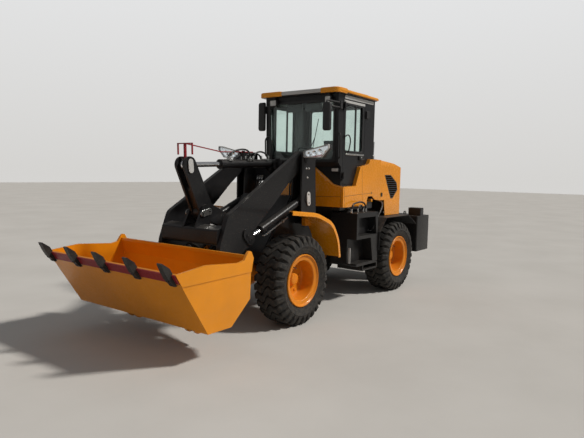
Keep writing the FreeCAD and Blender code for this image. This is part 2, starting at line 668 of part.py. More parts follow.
# Cylinders: each is drawn lying along +X from its foot pin, then swung to point at its rod's eye.

def barrel(label, foot, eye, across, radius, rod, length, foot_half, upright=False):
    """foot and eye are pins in the side view, or in the plan view for a cylinder whose pins stand upright."""
    piece = Piece(label, kept=False)
    view = "plan" if upright else "side"
    tube = [
        (44, 0), (44, radius), (length - 60, radius), (length - 55, radius + 7), (length, radius + 7),
        (length, rod + S.running_fit), (72, rod + S.running_fit), (72, 0),
    ]
    piece.turn("side", loop(tube))
    piece.pad(view, [ring(0, 0, S.pin_radius + 24)], "%g" % -foot_half, "%g" % (2 * foot_half))
    piece.cut(view, [ring(0, 0, S.pin_radius + S.running_fit)], "%g" % (-foot_half - 5), "%g" % (2 * foot_half + 10))
    place_cylinder(piece, foot, eye, across, upright)
    return piece


def rod(label, foot, eye, across, radius, tail, eye_half, upright=False, eye_radius=52):
    piece = Piece(label, kept=False)
    view = "plan" if upright else "side"
    reach = math.hypot(eye[0] - foot[0], eye[1] - foot[1])
    piece.turn("side", loop([(tail, 0), (tail, radius), (reach - 20, radius), (reach - 20, 0)]))
    piece.pad(view, [ring(reach, 0, eye_radius)], "%g" % -eye_half, "%g" % (2 * eye_half))
    place_cylinder(piece, foot, eye, across, upright)


def place_cylinder(piece, foot, eye, across, upright):
    angle = math.degrees(math.atan2(eye[1] - foot[1], eye[0] - foot[0]))
    middle = (S.tooth_tip_x - S.weight_rear) / 2
    if upright:
        piece.body.Placement = Placement(Vector(foot[0] - middle, foot[1], across), Rotation(Vector(0, 0, 1), angle))
    else:
        piece.body.Placement = Placement(Vector(foot[0] - middle, across, foot[1]), Rotation(Vector(0, 1, 0), -angle))
    PARTS.append(piece.body)


for name, side in (("left", 1), ("right", -1)):
    foot = (S.lift_pin_x, S.lift_pin_z)
    eye = (S.lift_eye_x, S.lift_eye_z)
    across = side * S.boom_centre
    barrel("lift_barrel_" + name, foot, eye, across, S.lift_barrel_radius, S.lift_rod_radius,
           S.lift_barrel_length, 48)
    rod("lift_rod_" + name, foot, eye, across, S.lift_rod_radius, 100, 24)
    foot = (-S.steer_foot_x, side * S.steer_foot_y)
    eye = (S.steer_eye_x, side * S.steer_eye_y)
    barrel("steer_barrel_" + name, foot, eye, S.steer_height, S.steer_barrel_radius, S.steer_rod_radius,
           S.steer_barrel_length, 30, upright=True)
    rod("steer_rod_" + name, foot, eye, S.steer_height, S.steer_rod_radius, 262, 30, upright=True, eye_radius=38)

TILT_FOOT = (S.tilt_pin_x, S.tilt_pin_z)
TILT_EYE = (S.rocker_top_x, S.rocker_top_z)
TILT_EYE_RADIUS = 58
tilt = barrel("tilt_barrel", TILT_FOOT, TILT_EYE, 0, S.tilt_barrel_radius, S.tilt_rod_radius, S.tilt_barrel_length, 56)
guide = [box_loop(-16, 16, S.tilt_barrel_radius - 4, S.level_height + 18, 8), ring(0, S.level_height, S.level_slide_radius + 3)]
tilt.pad("front", guide, "560", "26")
rod("tilt_rod", TILT_FOOT, TILT_EYE, 0, S.tilt_rod_radius, 600, 24, eye_radius=TILT_EYE_RADIUS)


def level_indicator():
    """A red hoop over the tilt rod's eye, with a slide back to its guide on the barrel: it shows the bucket's level."""
    piece = Piece("level_indicator", kept=False)
    eye = math.hypot(TILT_EYE[0] - TILT_FOOT[0], TILT_EYE[1] - TILT_FOOT[1])
    top = 240
    piece.pad("side", [box_loop(eye - 12, eye + 12, 40, top)], "-12", "24")
    piece.cut("side", [ring(eye, 0, TILT_EYE_RADIUS)], "-20", "40")
    piece.pad("side", [box_loop(eye - 8, eye + 8, top - 12, top)], "-120", "240")
    piece.pair("side", [box_loop(eye - 8, eye + 8, 112, top)], "108", "12")
    piece.pad("side", [capsule(eye, top - 6, eye - 565, S.level_height, 6)], "-6", "12")
    slide = "level_slide_radius"
    piece.pad("front", [ring(0, S.level_height, S.level_slide_radius)], "%g" % (eye - 1135), "570 + %s" % slide)
    place_cylinder(piece, TILT_FOOT, TILT_EYE, 0, False)


level_indicator()


# Rear frame, counterweight and hitch.

def rear_frame():
    piece = Piece("rear_frame")
    top = S.rear_frame_top
    plate = [
        (-220, 560, 40), (-220, top), (-S.weight_front, top), (-S.weight_front, 600), (-1600, 600), (-1480, 720, 60),
        (-1090, 720, 60), (-960, 560, 60), (-500, 500, 60),
    ]
    piece.pair("side", [loop(plate)], "rear_frame_half", "rear_frame_gauge")
    span = "-rear_frame_half - 5"
    width = "2 * rear_frame_half + 10"
    piece.pad("side", [box_loop(-240, -220, 600, top)], span, width)
    piece.pad("side", [box_loop(-960, -240, top - 20, top)], span, width)
    piece.pad("side", [box_loop(-700, -660, 560, top)], span, width)
    piece.pad("side", [box_loop(-1900, -1860, 620, 1000)], span, width)
    # The axle's trunnion rolls in two saddles that hang from a cross plate.
    shelf = S.trunnion_height + 75
    piece.pad("side", [box_loop(-S.axle_reach - 215, -S.axle_reach + 215, shelf, shelf + 28)], span, width)
    saddle = box_loop(-95, 95, S.trunnion_height - 10, shelf + 5)
    bearing = ring(0, S.trunnion_height, S.trunnion_radius + S.running_fit)
    for start in ("-axle_reach - 212", "-axle_reach + 188"):
        piece.pad("front", [saddle], start, "24")
        piece.cut("front", [bearing], start, "24")
    # The steering cylinders pass through the front plate.
    for side in (1, -1):
        low, high = sorted((side * 125, side * (S.rear_frame_half + 5)))
        piece.cut("front", [box_loop(low, high, S.steer_height - 70, S.steer_height + 70)], "-245", "30")
    piece.pair_cut("side", [box_loop(-320, -210, S.steer_height - 70, S.steer_height + 70)],
                   "rear_frame_half - 1", "rear_frame_gauge + 2")
    gap = S.pivot_gauge / 2 + S.side_play
    for height in (S.pivot_upper, S.pivot_lower):
        plate = [
            Part.LineSegment(Vector(-230, 300, 0), Vector(-230, -300, 0)),
            Part.LineSegment(Vector(-230, -300, 0), Vector(0, -90, 0)),
            Part.Arc(Vector(0, -90, 0), Vector(90, 0, 0), Vector(0, 90, 0)),
            Part.LineSegment(Vector(0, 90, 0), Vector(-230, 300, 0)),
        ]
        piece.pad("plan", [plate], "%g" % (height + gap), "22")
        piece.pad("plan", [plate], "%g" % (height - gap - 22), "22")
        piece.pad("plan", [ring(0, 0, S.pivot_pin_radius)], "%g" % (height - gap - 30), "%g" % (2 * gap + 60))
    for side in (1, -1):
        y = side * S.steer_foot_y
        lug = box_loop(-690, -S.steer_foot_x + 46, y - 44, y + 44, 30)
        piece.pad("plan", [lug], "steer_height + 30 + side_play", "18")
        piece.pad("plan", [lug], "steer_height - 30 - side_play - 18", "18")
        piece.pad("plan", [ring(-S.steer_foot_x, y, S.pin_radius)], "steer_height - 50", "100")


def counterweight():
    piece = Piece("counterweight")
    front = -S.weight_front
    rear = -S.weight_rear
    half = S.weight_half
    slab = [(front, half, 20), (front, -half, 20), (rear + 90, -half, 60), (rear, -half + 110, 60),
            (rear, half - 110, 60), (rear + 90, half, 60)]
    piece.pad("plan", [loop(slab)], "weight_bottom", "weight_top - weight_bottom")
    piece.cut("plan", [box_loop(rear - 10, rear + 170, -140, 140)], "660", "260")
    for start in (700, 840):
        tongue = [(rear + 180, 100), (rear + 180, -100), (rear + 2, -60, 30), (rear + 2, 60, 30)]
        piece.pad("plan", [loop(tongue)], "%g" % start, "40")
    piece.cut("plan", [ring(rear + 60, 0, S.hitch_bore / 2)], "690", "200")
    # The tow pin drops in from above.
    piece.cut("plan", [box_loop(rear - 10, rear + 130, -70, 70)], "915", "weight_top - 910")


def tail_lamps():
    piece = Piece("tail_lamps")
    for side in (1, -1):
        edge = sorted((side * 620, side * 850))
        piece.pad("plan", [box_loop(-2330, -2200, edge[0], edge[1], 15)], "weight_top", "130")


rear_frame()
counterweight()
tail_lamps()


def engine_block():
    """The engine as one plain block on its feet."""
    piece = Piece("engine_block")
    piece.pad("side", [box_loop(-1850, -1100, 1170, 1800, 60)], "-290", "580")
    piece.pad("side", [box_loop(-1800, -1740, S.rear_frame_top, 1190)], "-355", "710")
    piece.pad("side", [box_loop(-1210, -1150, S.rear_frame_top, 1190)], "-355", "710")


engine_block()


# Cab: hollow shell with its windows cut, glass panes, doors hung at the front posts, and a roof.

CAB_SIDE = [(-850, 1300), (80, 1300), (80, 1900), (155, 1965), (180, 2890), (-850, 2890)]
DOOR = [(38, 1655), (-225, 1655), (-345, 1930), (-560, 1930), (-560, 2830), (52, 2830)]
DOOR_HINGES = (1740, 2700)


def inset(points, amount):
    """A closed outline moved inward by an amount; the outline runs clockwise or anticlockwise."""
    area = sum(points[i - 1][0] * points[i][1] - points[i][0] * points[i - 1][1] for i in range(len(points)))
    turn = 1 if area > 0 else -1
    moved = []
    for i, here in enumerate(points):
        before = points[i - 1]
        after = points[(i + 1) % len(points)]
        a = Vector(here[0] - before[0], here[1] - before[1], 0).normalize()
        b = Vector(after[0] - here[0], after[1] - here[1], 0).normalize()
        na = Vector(-a.y, a.x, 0) * turn
        nb = Vector(-b.y, b.x, 0) * turn
        total = (na + nb).normalize()
        reach = amount / total.dot(na)
        moved.append((here[0] + total.x * reach, here[1] + total.y * reach))
    return moved


def cab_frame():
    piece = Piece("cab_frame")
    piece.pad("side", [loop(CAB_SIDE)], "-cab_half", "2 * cab_half")
    piece.cut("side", [loop(inset(CAB_SIDE, S.cab_wall))], "-cab_half + cab_wall", "2 * cab_half - 2 * cab_wall")
    piece.cut("side", [loop(DOOR)], "-cab_half - 10", "2 * cab_half + 20")
    pane = loop([(y, z) for y, z in ((-555, 1985), (555, 1985), (560, 2800), (-560, 2800))])
    piece.cut("front", [pane], "0", "300")
    back = box_loop(-520, 520, 2080, 2800, 40)
    piece.cut("front", [back], "-cab_rear - 10", "cab_wall + 30")
    for side in (1, -1):
        centre = side * (S.cab_half + S.door_hinge_stand)
        low, high = sorted((side * (S.cab_half - 2), centre + side * S.door_hinge_radius))
        for height in DOOR_HINGES:
            plate = box_loop(S.door_hinge_x - 8, S.door_hinge_x + 40, centre - 13, centre + 13)
            foot = box_loop(S.door_hinge_x + 14, S.door_hinge_x + 40, low, high)
            piece.pad("plan", [plate], "%g - side_play - 20" % height, "20")
            piece.pad("plan", [foot], "%g - side_play - 20" % height, "20")
            piece.pad("plan", [ring(S.door_hinge_x, centre, S.door_pin_radius)], "%g - side_play - 20" % height, "115")
    for x in (-800, -300):
        mount = box_loop(x, x + 60, S.rear_frame_top, S.cab_floor)
        piece.pad("side", [mount], "-rear_frame_half - rear_frame_gauge", "2 * rear_frame_half + 2 * rear_frame_gauge")


def windscreen():
    piece = Piece("windscreen")
    slope = [(117, 1985), (141, 2800), (147, 2800), (123, 1985)]
    piece.pad("side", [loop(slope)], "-555", "1110")


def rear_glass():
    piece = Piece("rear_glass")
    piece.pad("front", [box_loop(-520, 520, 2080, 2800, 40)], "-cab_rear + cab_wall / 2", "glass_gauge")


def cab_roof():
    piece = Piece("cab_roof")
    half = S.roof_half
    rear = -S.cab_rear - 45
    slab = [(rear, -half, 60), (150, -half, 60), (285, -half + 190, 60), (285, half - 190, 60), (150, half, 60),
            (rear, half, 60)]
    piece.pad("plan", [loop(slab)], "cab_top", "roof_gauge - 25")
    crown = [(rear + 60, -half + 90, 60), (120, -half + 90, 60), (215, -half + 240, 60), (215, half - 240, 60),
             (120, half - 90, 60), (rear + 60, half - 90, 60)]
    piece.pad("plan", [loop(crown)], "cab_top + roof_gauge - 26", "26")


def door(name, side):
    piece = Piece("door_" + name)
    skin = inset(DOOR, S.side_play)
    start = "cab_half - cab_wall" if side > 0 else "-cab_half"
    piece.pad("side", [loop(skin)], start, "cab_wall")
    window = [(-15, 2120), (-500, 2120), (-500, 2770), (-5, 2770)]
    piece.cut("side", [loop([p + (30,) for p in window])], "-cab_half - 10" if side < 0 else "cab_half - cab_wall - 10",
              "cab_wall + 20")
    if side > 0:
        piece.cut("side", [loop(inset([(30, 1662), (-222, 1662), (-340, 1937), (-540, 1937), (-540, 2080), (30, 2080)], 25))],
                  "cab_half - cab_wall", "cab_wall - 18")
    else:
        piece.cut("side", [loop(inset([(30, 1662), (-222, 1662), (-340, 1937), (-540, 1937), (-540, 2080), (30, 2080)], 25))],
                  "-cab_half + 18", "cab_wall - 18")
    latch = box_loop(-500, -400, 2030, 2058, 8)
    piece.pad("side", [latch], "cab_half" if side > 0 else "-cab_half - 22", "22")
    centre = S.cab_half + S.door_hinge_stand
    for height in DOOR_HINGES:
        piece.pad("plan", [ring(S.door_hinge_x, side * centre, S.door_hinge_radius)], "%g" % height, "90")
        low, high = sorted((side * (centre - 8), side * (centre + 8)))
        piece.pad("plan", [box_loop(-20, S.door_hinge_x, low, high)], "%g" % (height + 10), "70")
        low, high = sorted((side * (S.cab_half - 2), side * (centre + 8)))
        piece.pad("plan", [box_loop(-20, 25, low, high)], "%g" % (height + 10), "70")
        bore = ring(S.door_hinge_x, side * centre, S.door_pin_radius + S.running_fit)
        piece.cut("plan", [bore], "%g" % (height - 1), "92")
    glass = Piece("door_glass_" + name)
    pane = [(-15, 2120), (-500, 2120), (-500, 2770), (-5, 2770)]
    glass.pad("side", [loop([p + (30,) for p in pane])],
              "cab_half - cab_wall / 2" if side > 0 else "-cab_half + cab_wall / 2 - glass_gauge", "glass_gauge")


cab_frame()
windscreen()
rear_glass()
cab_roof()
door("left", 1)
door("right", -1)


def seat():
    piece = Piece("seat")
    base = S.cab_floor + S.cab_wall
    piece.pad("side", [box_loop(-560, -180, base, base + 250, 40)], "-200", "400")
    piece.pad("side", [box_loop(-600, -130, base + 250, base + 370, 45)], "-250", "500")
    back = [(-520, base + 360, 30), (-610, base + 980, 50), (-720, base + 960, 50), (-640, base + 330, 30)]
    piece.pad("side", [loop(back)], "-235", "470")


def steering_column():
    piece = Piece("column_post", kept=False)
    base = S.cab_floor + S.cab_wall
    post = [(30, base), (-50, base), (-105, base + 775), (-75, base + 785)]
    piece.pad("side", [loop(post)], "-60", "120")
    spoke = [(-262, base + 710), (-266, base + 722), (90, base + 834), (94, base + 822)]
    piece.pad("side", [loop(spoke)], "-20", "40")
    panel = [(30, base + 430, 30), (-60, base + 430, 30), (-150, base + 640, 30), (20, base + 700, 30)]
    piece.pad("side", [loop(panel)], "-190", "380")
    grip = doc.addObject("Part::Torus", "wheel_grip")
    bind(grip, "Radius1", "wheel_radius - wheel_grip_radius")
    bind(grip, "Radius2", "wheel_grip_radius")
    grip.Placement = Placement(Vector(-86, 0, base + 772), Rotation(Vector(0, 1, 0), -19.2))
    whole = boolean("Part::Fuse", "steering_column", piece.body, grip)
    bind(whole, "Placement.Base.x", "-(%s)" % MIDDLE)
    PARTS.append(whole)


seat()
steering_column()


# Orange body panels and the lifting hood.

def side_panels():
    piece = Piece("side_panels")
    front = S.panel_front
    rear = -S.hood_front + S.side_play
    flank = [
        (front, S.panel_bottom), (front, 1628), (-240, 1640), (-365, 1910, 60), (-600, 1950, 60), (-660, 2030, 60),
        (rear, 2030), (rear, 1412), (-820, 1428), (-736, 1485), (-609, 1481), (-585, 1430), (-569, S.panel_bottom),
    ]
    piece.pair("side", [loop(flank)], "panel_half - panel_gauge", "panel_gauge")
    top = box_loop(rear, -S.cab_rear - S.side_play, 2018, 2030)
    piece.pad("side", [top], "-panel_half + 5", "2 * panel_half - 10")
    face = [(S.panel_half, S.panel_bottom), (S.panel_half, 1628), (525, 1665), (424, 1746), (222, 1892), (182, 1892), (182, S.panel_bottom)]
    piece.pad("front", [loop(face)], "panel_front - panel_gauge", "panel_gauge")
    piece.pad("front", [loop(mirrored_front(face))], "panel_front - panel_gauge", "panel_gauge")
    hinge_x = -S.hood_front + S.side_play / 2
    knuckle = loop([(hinge_x + 50, 2028), (hinge_x + 24, 2028), (hinge_x - 2, S.hood_hinge_z - 12), (hinge_x - 12, S.hood_hinge_z - 4),
                    (hinge_x - 12, S.hood_hinge_z + 12, 10), (hinge_x + 16, S.hood_hinge_z + 12, 10)])
    piece.pair("side", [knuckle], "300", "30")
    piece.pair("side", [ring(hinge_x, S.hood_hinge_z, S.hood_pin_radius)], "300", "75")
    for x in (-760, -60):
        stay = box_loop(x, x + 40, 1400, 1440)
        piece.pair("side", [stay], "cab_half", "panel_half - cab_half - 5")


def mirrored_front(points):
    return [(-p[0],) + tuple(p[1:]) for p in points]


HOOD_SIDE = [(-1000, 1412), (-1000, 2040), (-1500, 1985, 500), (30 - S.hood_rear, 1890, 140), (-S.hood_rear, S.hood_bottom),
             (-1180, S.hood_bottom), (-1150, 1412)]
HOOD_VENT = [(-1159, 1802), (-1372, 1804), (-1585, 1681), (-1617, 1566), (-1443, 1430), (-1367, 1430)]


def hood_form(word, side, gauge):
    """The hood's bulk: its side outline, its section and its plan together, all a gauge inside the outside."""
    half = S.panel_half - gauge
    rear = S.hood_rear - gauge
    flanks = Piece("hood_side_" + word, kept=False)
    flanks.pad("side", [loop(side)], "-panel_half - 10", "2 * panel_half + 20")
    section = [(-half, 1100), (half, 1100), (half - 20, 2045 - gauge, 120), (0, 2062 - gauge, 2000), (20 - half, 2045 - gauge, 120)]
    arch = Piece("hood_section_" + word, kept=False)
    arch.pad("front", [loop(section)], "-hood_rear - 20", "hood_rear - hood_front + 80")
    corner = S.hood_corner - gauge
    plan = [(-900, half + 5), (-900, -half - 5), (-rear, -half - 5, corner), (-rear, half + 5, corner)]
    slab = Piece("hood_plan_" + word, kept=False)
    slab.pad("plan", [loop(plan)], "1000", "1200")
    crossed = boolean("Part::Common", "hood_crossed_" + word, flanks.body, arch.body)
    return boolean("Part::Common", "hood_form_" + word, crossed, slab.body)


def hood():
    gauge = S.panel_gauge
    inner_side = [(-950, 1000), (-950, 2044 - gauge), (-1500, 1985 - gauge, 500), (30 + gauge - S.hood_rear, 1890 - gauge, 130),
                  (gauge - S.hood_rear, 1000)]
    skin = boolean("Part::Cut", "hood_skin", hood_form("outside", HOOD_SIDE, 0), hood_form("inside", inner_side, gauge))
    hinge_x = -S.hood_front + S.side_play / 2
    straps = Piece("hood_straps", kept=False)
    strap = loop([(hinge_x - 60, 2030), (hinge_x - 22, 2030), (hinge_x + 12, S.hood_hinge_z - 12),
                  (hinge_x + 12, S.hood_hinge_z + 12, 10), (hinge_x - 16, S.hood_hinge_z + 12, 10)])
    bore = ring(hinge_x, S.hood_hinge_z, S.hood_pin_radius + S.running_fit)
    straps.pair("side", [strap, bore], "330 + side_play", "35")
    vent = Piece("vent_area", kept=False)
    vent.pair("side", [loop(HOOD_VENT)], "600", "120")
    opened = boolean("Part::Cut", "hood_opened", skin, vent.body)
    shell = boolean("Part::Fuse", "hood", opened, straps.body)
    # Each grille fills its opening and is slotted between a frame.
    inside = Piece("vent_inside", kept=False)
    inside.pair("side", [loop(inset(HOOD_VENT, 16))], "590", "140")
    slots = Piece("vent_slots", kept=False)
    rows = [box_loop(-1640, -1130, z, z + 18) for z in range(1450, 1790, 32)]
    slots.pair("side", rows, "590", "140")
    blank = boolean("Part::Common", "vent_blank", skin, vent.body)
    louvres = boolean("Part::Common", "vent_louvres", inside.body, slots.body)
    grille = boolean("Part::Cut", "hood_vents", blank, louvres)
    for made in (shell, grille):
        bind(made, "Placement.Base.x", "-(%s)" % MIDDLE)
        PARTS.append(made)


side_panels()
hood()


def tank(name, side):
    piece = Piece("tank_" + name)
    start = "tank_inner" if side > 0 else "-tank_outer"
    width = "tank_outer - tank_inner"
    body = [(-20, 520, 30), (-640, 520, 30), (-640, 1270, 20), (-20, 1270, 20)]
    piece.pad("side", [loop(body)], start, width)
    well = [(10, 560), (-500, 560), (-430, 900), (10, 900)]
    piece.cut("side", [loop(well)], "tank_outer - 150" if side > 0 else "-tank_outer - 1", "151")
    upper = [(-70, 945), (-600, 945), (-560, 1200), (-70, 1200)]
    piece.cut("side", [loop(upper)], "tank_outer - 130" if side > 0 else "-tank_outer - 1", "131")
    tread = box_loop(-640, -210, 440, 460)
    piece.pad("side", [tread], start, width)
    leg = box_loop(-640, -620, 450, 540)
    piece.pad("side", [leg], start, width)
    toe = box_loop(-230, -210, 450, 540)
    piece.pad("side", [toe], start, width)
    arm = "rear_frame_half + rear_frame_gauge" if side > 0 else "-tank_inner - 1"
    for z in (700, 1080):
        piece.pad("side", [box_loop(-420, -340, z, z + 40)], arm, "tank_inner - rear_frame_half - rear_frame_gauge + 1")


tank("left", 1)
tank("right", -1)

GUARD_BEND = [(-655, 700), (-665, 960), (-880, S.guard_top), (-1660, S.guard_top), (-1960, 1000)]


def rear_mudguards():
    piece = Piece("rear_mudguards")
    piece.pair("side", [band(list(reversed(GUARD_BEND)), 6)], "guard_inner", "guard_outer - guard_inner")
    for x in (-1000, -1500):
        post = box_loop(x, x + 40, S.rear_frame_top, S.guard_top + 1)
        piece.pair("side", [post], "guard_inner - 30", "40")


rear_mudguards()


def exhaust():
    piece = Piece("exhaust")
    profile = [(0, 2030), (34, 2030), (34, 2075), (26, 2080), (32, 2300), (27, 2300), (22, 2085), (0, 2085)]
    piece.turn("front", loop(profile), "V_Axis")
    bind(piece.body, "Placement.Base.x", "-(%s) - cab_rear - 90" % MIDDLE)
    bind(piece.body, "Placement.Base.y", "560")


# side, front and rear of the glass, bottom and top, middle plane to the inner face
MIRRORS = [(1, 400, 520, 2370, 2740, 610), (-1, 110, 270, 2420, 2880, 668)]


def mirrors():
    piece = Piece("mirrors")
    for side, rear, front, bottom, top, inner in MIRRORS:
        low, high = sorted((side * inner, side * (inner + 40)))
        piece.pad("plan", [box_loop(rear, front, low, high, 15)], "%g" % bottom, "%g" % (top - bottom))
        outer = max(inner, S.cab_half) + 20
        low, high = sorted((side * S.cab_half, side * outer))
        piece.pad("plan", [box_loop(110, 160, low, high)], "2680", "90")
        low, high = sorted((side * max(inner + 4, S.cab_half), side * outer))
        for z in (2700, 2740):
            piece.pad("plan", [box_loop(150, (rear + front) / 2, low, high)], "%g" % z, "16")


def work_lamps():
    piece = Piece("work_lamps")
    for side in (1, -1):
        low, high = sorted((side * 400, side * 545))
        piece.pad("plan", [box_loop(190, 250, low, high, 15)], "2770", "90")
        low, high = sorted((side * 460, side * 485))
        piece.pad("plan", [box_loop(205, 235, low, high)], "2860", "30")


exhaust()
mirrors()
work_lamps()

doc.recompute()
for thing in doc.Objects:
    if "Invalid" in thing.State or "Error" in thing.State:
        raise RuntimeError("%s did not build: %s" % (thing.Label, thing.State))
os.makedirs("parts", exist_ok=True)
for thing in PARTS:
    shape = thing.Shape
    if shape.isNull() or not shape.isValid():
        raise RuntimeError("%s has no valid shape" % thing.Label)
    shape.exportStep("parts/%s.step" % thing.Label)
print("%d sub-parts written" % len(PARTS))
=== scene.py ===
import json
import math

import bmesh
import bpy
from mathutils import Matrix, Vector

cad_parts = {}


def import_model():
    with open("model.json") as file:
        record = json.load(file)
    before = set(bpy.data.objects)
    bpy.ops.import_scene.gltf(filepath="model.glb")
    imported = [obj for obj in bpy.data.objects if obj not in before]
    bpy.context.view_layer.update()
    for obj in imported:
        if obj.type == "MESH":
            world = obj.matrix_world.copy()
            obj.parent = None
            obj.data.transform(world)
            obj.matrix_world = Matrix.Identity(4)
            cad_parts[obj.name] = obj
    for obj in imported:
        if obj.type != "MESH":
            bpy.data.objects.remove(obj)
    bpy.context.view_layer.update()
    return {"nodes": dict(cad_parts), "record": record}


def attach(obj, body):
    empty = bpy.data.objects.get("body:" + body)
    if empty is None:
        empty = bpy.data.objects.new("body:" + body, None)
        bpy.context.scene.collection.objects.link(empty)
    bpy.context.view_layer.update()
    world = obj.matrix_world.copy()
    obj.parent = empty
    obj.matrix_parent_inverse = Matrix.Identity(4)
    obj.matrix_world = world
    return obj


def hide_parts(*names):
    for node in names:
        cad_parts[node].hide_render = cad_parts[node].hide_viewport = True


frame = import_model()
SUBPARTS = frame["record"]["subparts"]

# Lengths are in millimetres and counted from the steering pivot; the frame's origin lies ahead of it.
PIVOT = 459.5
SIDES = (("left", 1), ("right", -1))


def at(x, y, z):
    """A point given from the steering pivot, in the frame and in metres."""
    return Vector((x - PIVOT, y, z)) / 1000


# Shader nodes

def add_node(tree, kind, inputs=None, **settings):
    """A shader node; an input is set to its value, or linked where the value is an output."""
    node = tree.nodes.new("ShaderNode" + kind)
    for name, value in settings.items():
        setattr(node, name, value)
    for socket, value in (inputs or {}).items():
        if hasattr(value, "is_output"):
            tree.links.new(value, node.inputs[socket])
        else:
            node.inputs[socket].default_value = value
    return node


def colour_ramp(tree, source, stops):
    """Stops are (place, colour) or (place, grey)."""
    node = add_node(tree, "ValToRGB", {0: source})
    ends = node.color_ramp.elements
    while len(ends) < len(stops):
        ends.new(0.5)
    for element, (place, value) in zip(ends, stops):
        element.position = place
        element.color = value if hasattr(value, "__len__") else (value, value, value, 1)
    return node.outputs[0]


# Camera, light and background

FRAME_WIDTH = 584
FOCAL_PIXELS = 531.205
SENSOR = 36


def link_object(name, data):
    body = bpy.data.objects.new(name, data)
    bpy.context.scene.collection.objects.link(body)
    return body


def camera():
    yaw, pitch, roll = 3.77918581, -0.0871657544, 0.0195338776
    forward = Vector((math.cos(pitch) * math.cos(yaw), math.cos(pitch) * math.sin(yaw), math.sin(pitch)))
    level = forward.cross(Vector((0, 0, 1))).normalized()
    upright = level.cross(forward)
    right = level * math.cos(roll) + upright * math.sin(roll)
    up = upright * math.cos(roll) - level * math.sin(roll)
    data = bpy.data.cameras.new("view")
    data.sensor_width = SENSOR
    data.lens = FOCAL_PIXELS * SENSOR / FRAME_WIDTH
    data.clip_end = 200
    body = link_object("view", data)
    turn = Matrix((right, up, -forward)).transposed()
    body.matrix_world = Matrix.Translation(at(6362.9, 4467.6, 1811.4)) @ turn.to_4x4()
    bpy.context.scene.camera = body


def lamp(name, kind, place, aim, power, colour=(1, 1, 1), **shape):
    data = bpy.data.lights.new(name, kind)
    data.energy = power
    data.color = colour
    for key, value in shape.items():
        setattr(data, key, value)
    body = link_object(name, data)
    body.location = place
    body.rotation_euler = (Vector(aim) - Vector(place)).to_track_quat("-Z", "Y").to_euler()


def world():
    """A soft dome; the camera, and what is seen through glass, get its paler picture."""
    sky = bpy.data.worlds.new("studio")
    bpy.context.scene.world = sky
    sky.use_nodes = True
    tree = sky.node_tree
    tree.nodes.clear()
    heading = add_node(tree, "TexCoord").outputs["Generated"]
    height = add_node(tree, "SeparateXYZ", {0: heading}).outputs["Z"]
    colour = colour_ramp(tree, height, [(0.0, (0.72, 0.71, 0.69, 1)), (0.6, (0.95, 0.97, 1.0, 1))])
    fill = add_node(tree, "Background", {0: colour, 1: 0.27}).outputs[0]
    seen = add_node(tree, "Background", {0: colour, 1: 0.92}).outputs[0]
    rays = add_node(tree, "LightPath").outputs
    either = {0: rays["Is Camera Ray"], 1: rays["Is Transmission Ray"]}
    chosen = add_node(tree, "Math", either, operation="MAXIMUM").outputs[0]
    mixed = add_node(tree, "MixShader", {0: chosen, 1: fill, 2: seen}).outputs[0]
    add_node(tree, "OutputWorld", {0: mixed})


camera()
world()
bpy.context.scene.view_settings.view_transform = "Standard"
lamp("key", "SUN", (-6, 9.5, 11), (0, 0, 0), 3.1, (1.0, 0.965, 0.91), angle=math.radians(6))
lamp("front_fill", "AREA", (9, 1, 6), (0, 0, 1), 18, shape="SQUARE", size=5)


# Materials: every colour, dust and wear comes from nodes in each piece's own coordinates.

DUST = (0.30, 0.25, 0.19, 1)


def shade(colour, factor):
    return tuple(c * factor for c in colour[:3]) + (1,)


class Finish:
    """A material's node tree, with short calls for the parts that repeat."""

    def __init__(self, name, **values):
        self.material = bpy.data.materials.new(name)
        self.material.use_nodes = True
        self.tree = self.material.node_tree
        self.shader = self.tree.nodes["Principled BSDF"]
        self.coords = self.add("TexCoord").outputs["Object"]
        for socket, value in values.items():
            self.shader.inputs[socket.replace("_", " ")].default_value = value

    def add(self, kind, inputs=None, **settings):
        return add_node(self.tree, kind, inputs, **settings)

    def link(self, output, socket):
        self.tree.links.new(output, self.shader.inputs[socket])

    def noise(self, scale, detail=4, rough=0.55, stretch=None):
        source = self.coords
        if stretch:
            source = self.add("Mapping", {"Vector": source, "Scale": stretch}).outputs[0]
        inputs = {"Vector": source, "Scale": scale, "Detail": detail, "Roughness": rough}
        return self.add("TexNoise", inputs).outputs["Fac"]

    def ramp(self, source, *stops):
        return colour_ramp(self.tree, source, stops)

    def patches(self, scale, low, high, detail=4, rough=0.55):
        """Soft patches, 0 where the noise is below low and 1 above high."""
        return self.ramp(self.noise(scale, detail, rough), (low, 0.0), (high, 1.0))

    def mix(self, factor, first, second):
        return self.add("Mix", {0: factor, 6: first, 7: second}, data_type="RGBA").outputs[2]

    def math(self, operation, first, second):
        return self.add("Math", {0: first, 1: second}, operation=operation).outputs[0]

    def times(self, first, second):
        return self.math("MULTIPLY", first, second)

    def upright(self, vector):
        return self.add("SeparateXYZ", {0: vector}).outputs["Z"]

    def height(self, low, high):
        """1 at the height low and 0 at high, for dust near the ground."""
        return self.add("MapRange", {0: self.upright(self.coords), 1: low, 2: high, 3: 1, 4: 0}).outputs[0]

    def upward(self):
        """1 where a surface faces up, where dust settles."""
        return self.ramp(self.upright(self.add("NewGeometry").outputs["Normal"]), (0.35, 0.0), (0.95, 1.0))

    def bump(self, source, strength, distance=0.002):
        inputs = {"Strength": strength, "Distance": distance, "Height": source}
        self.link(self.add("Bump", inputs).outputs[0], "Normal")


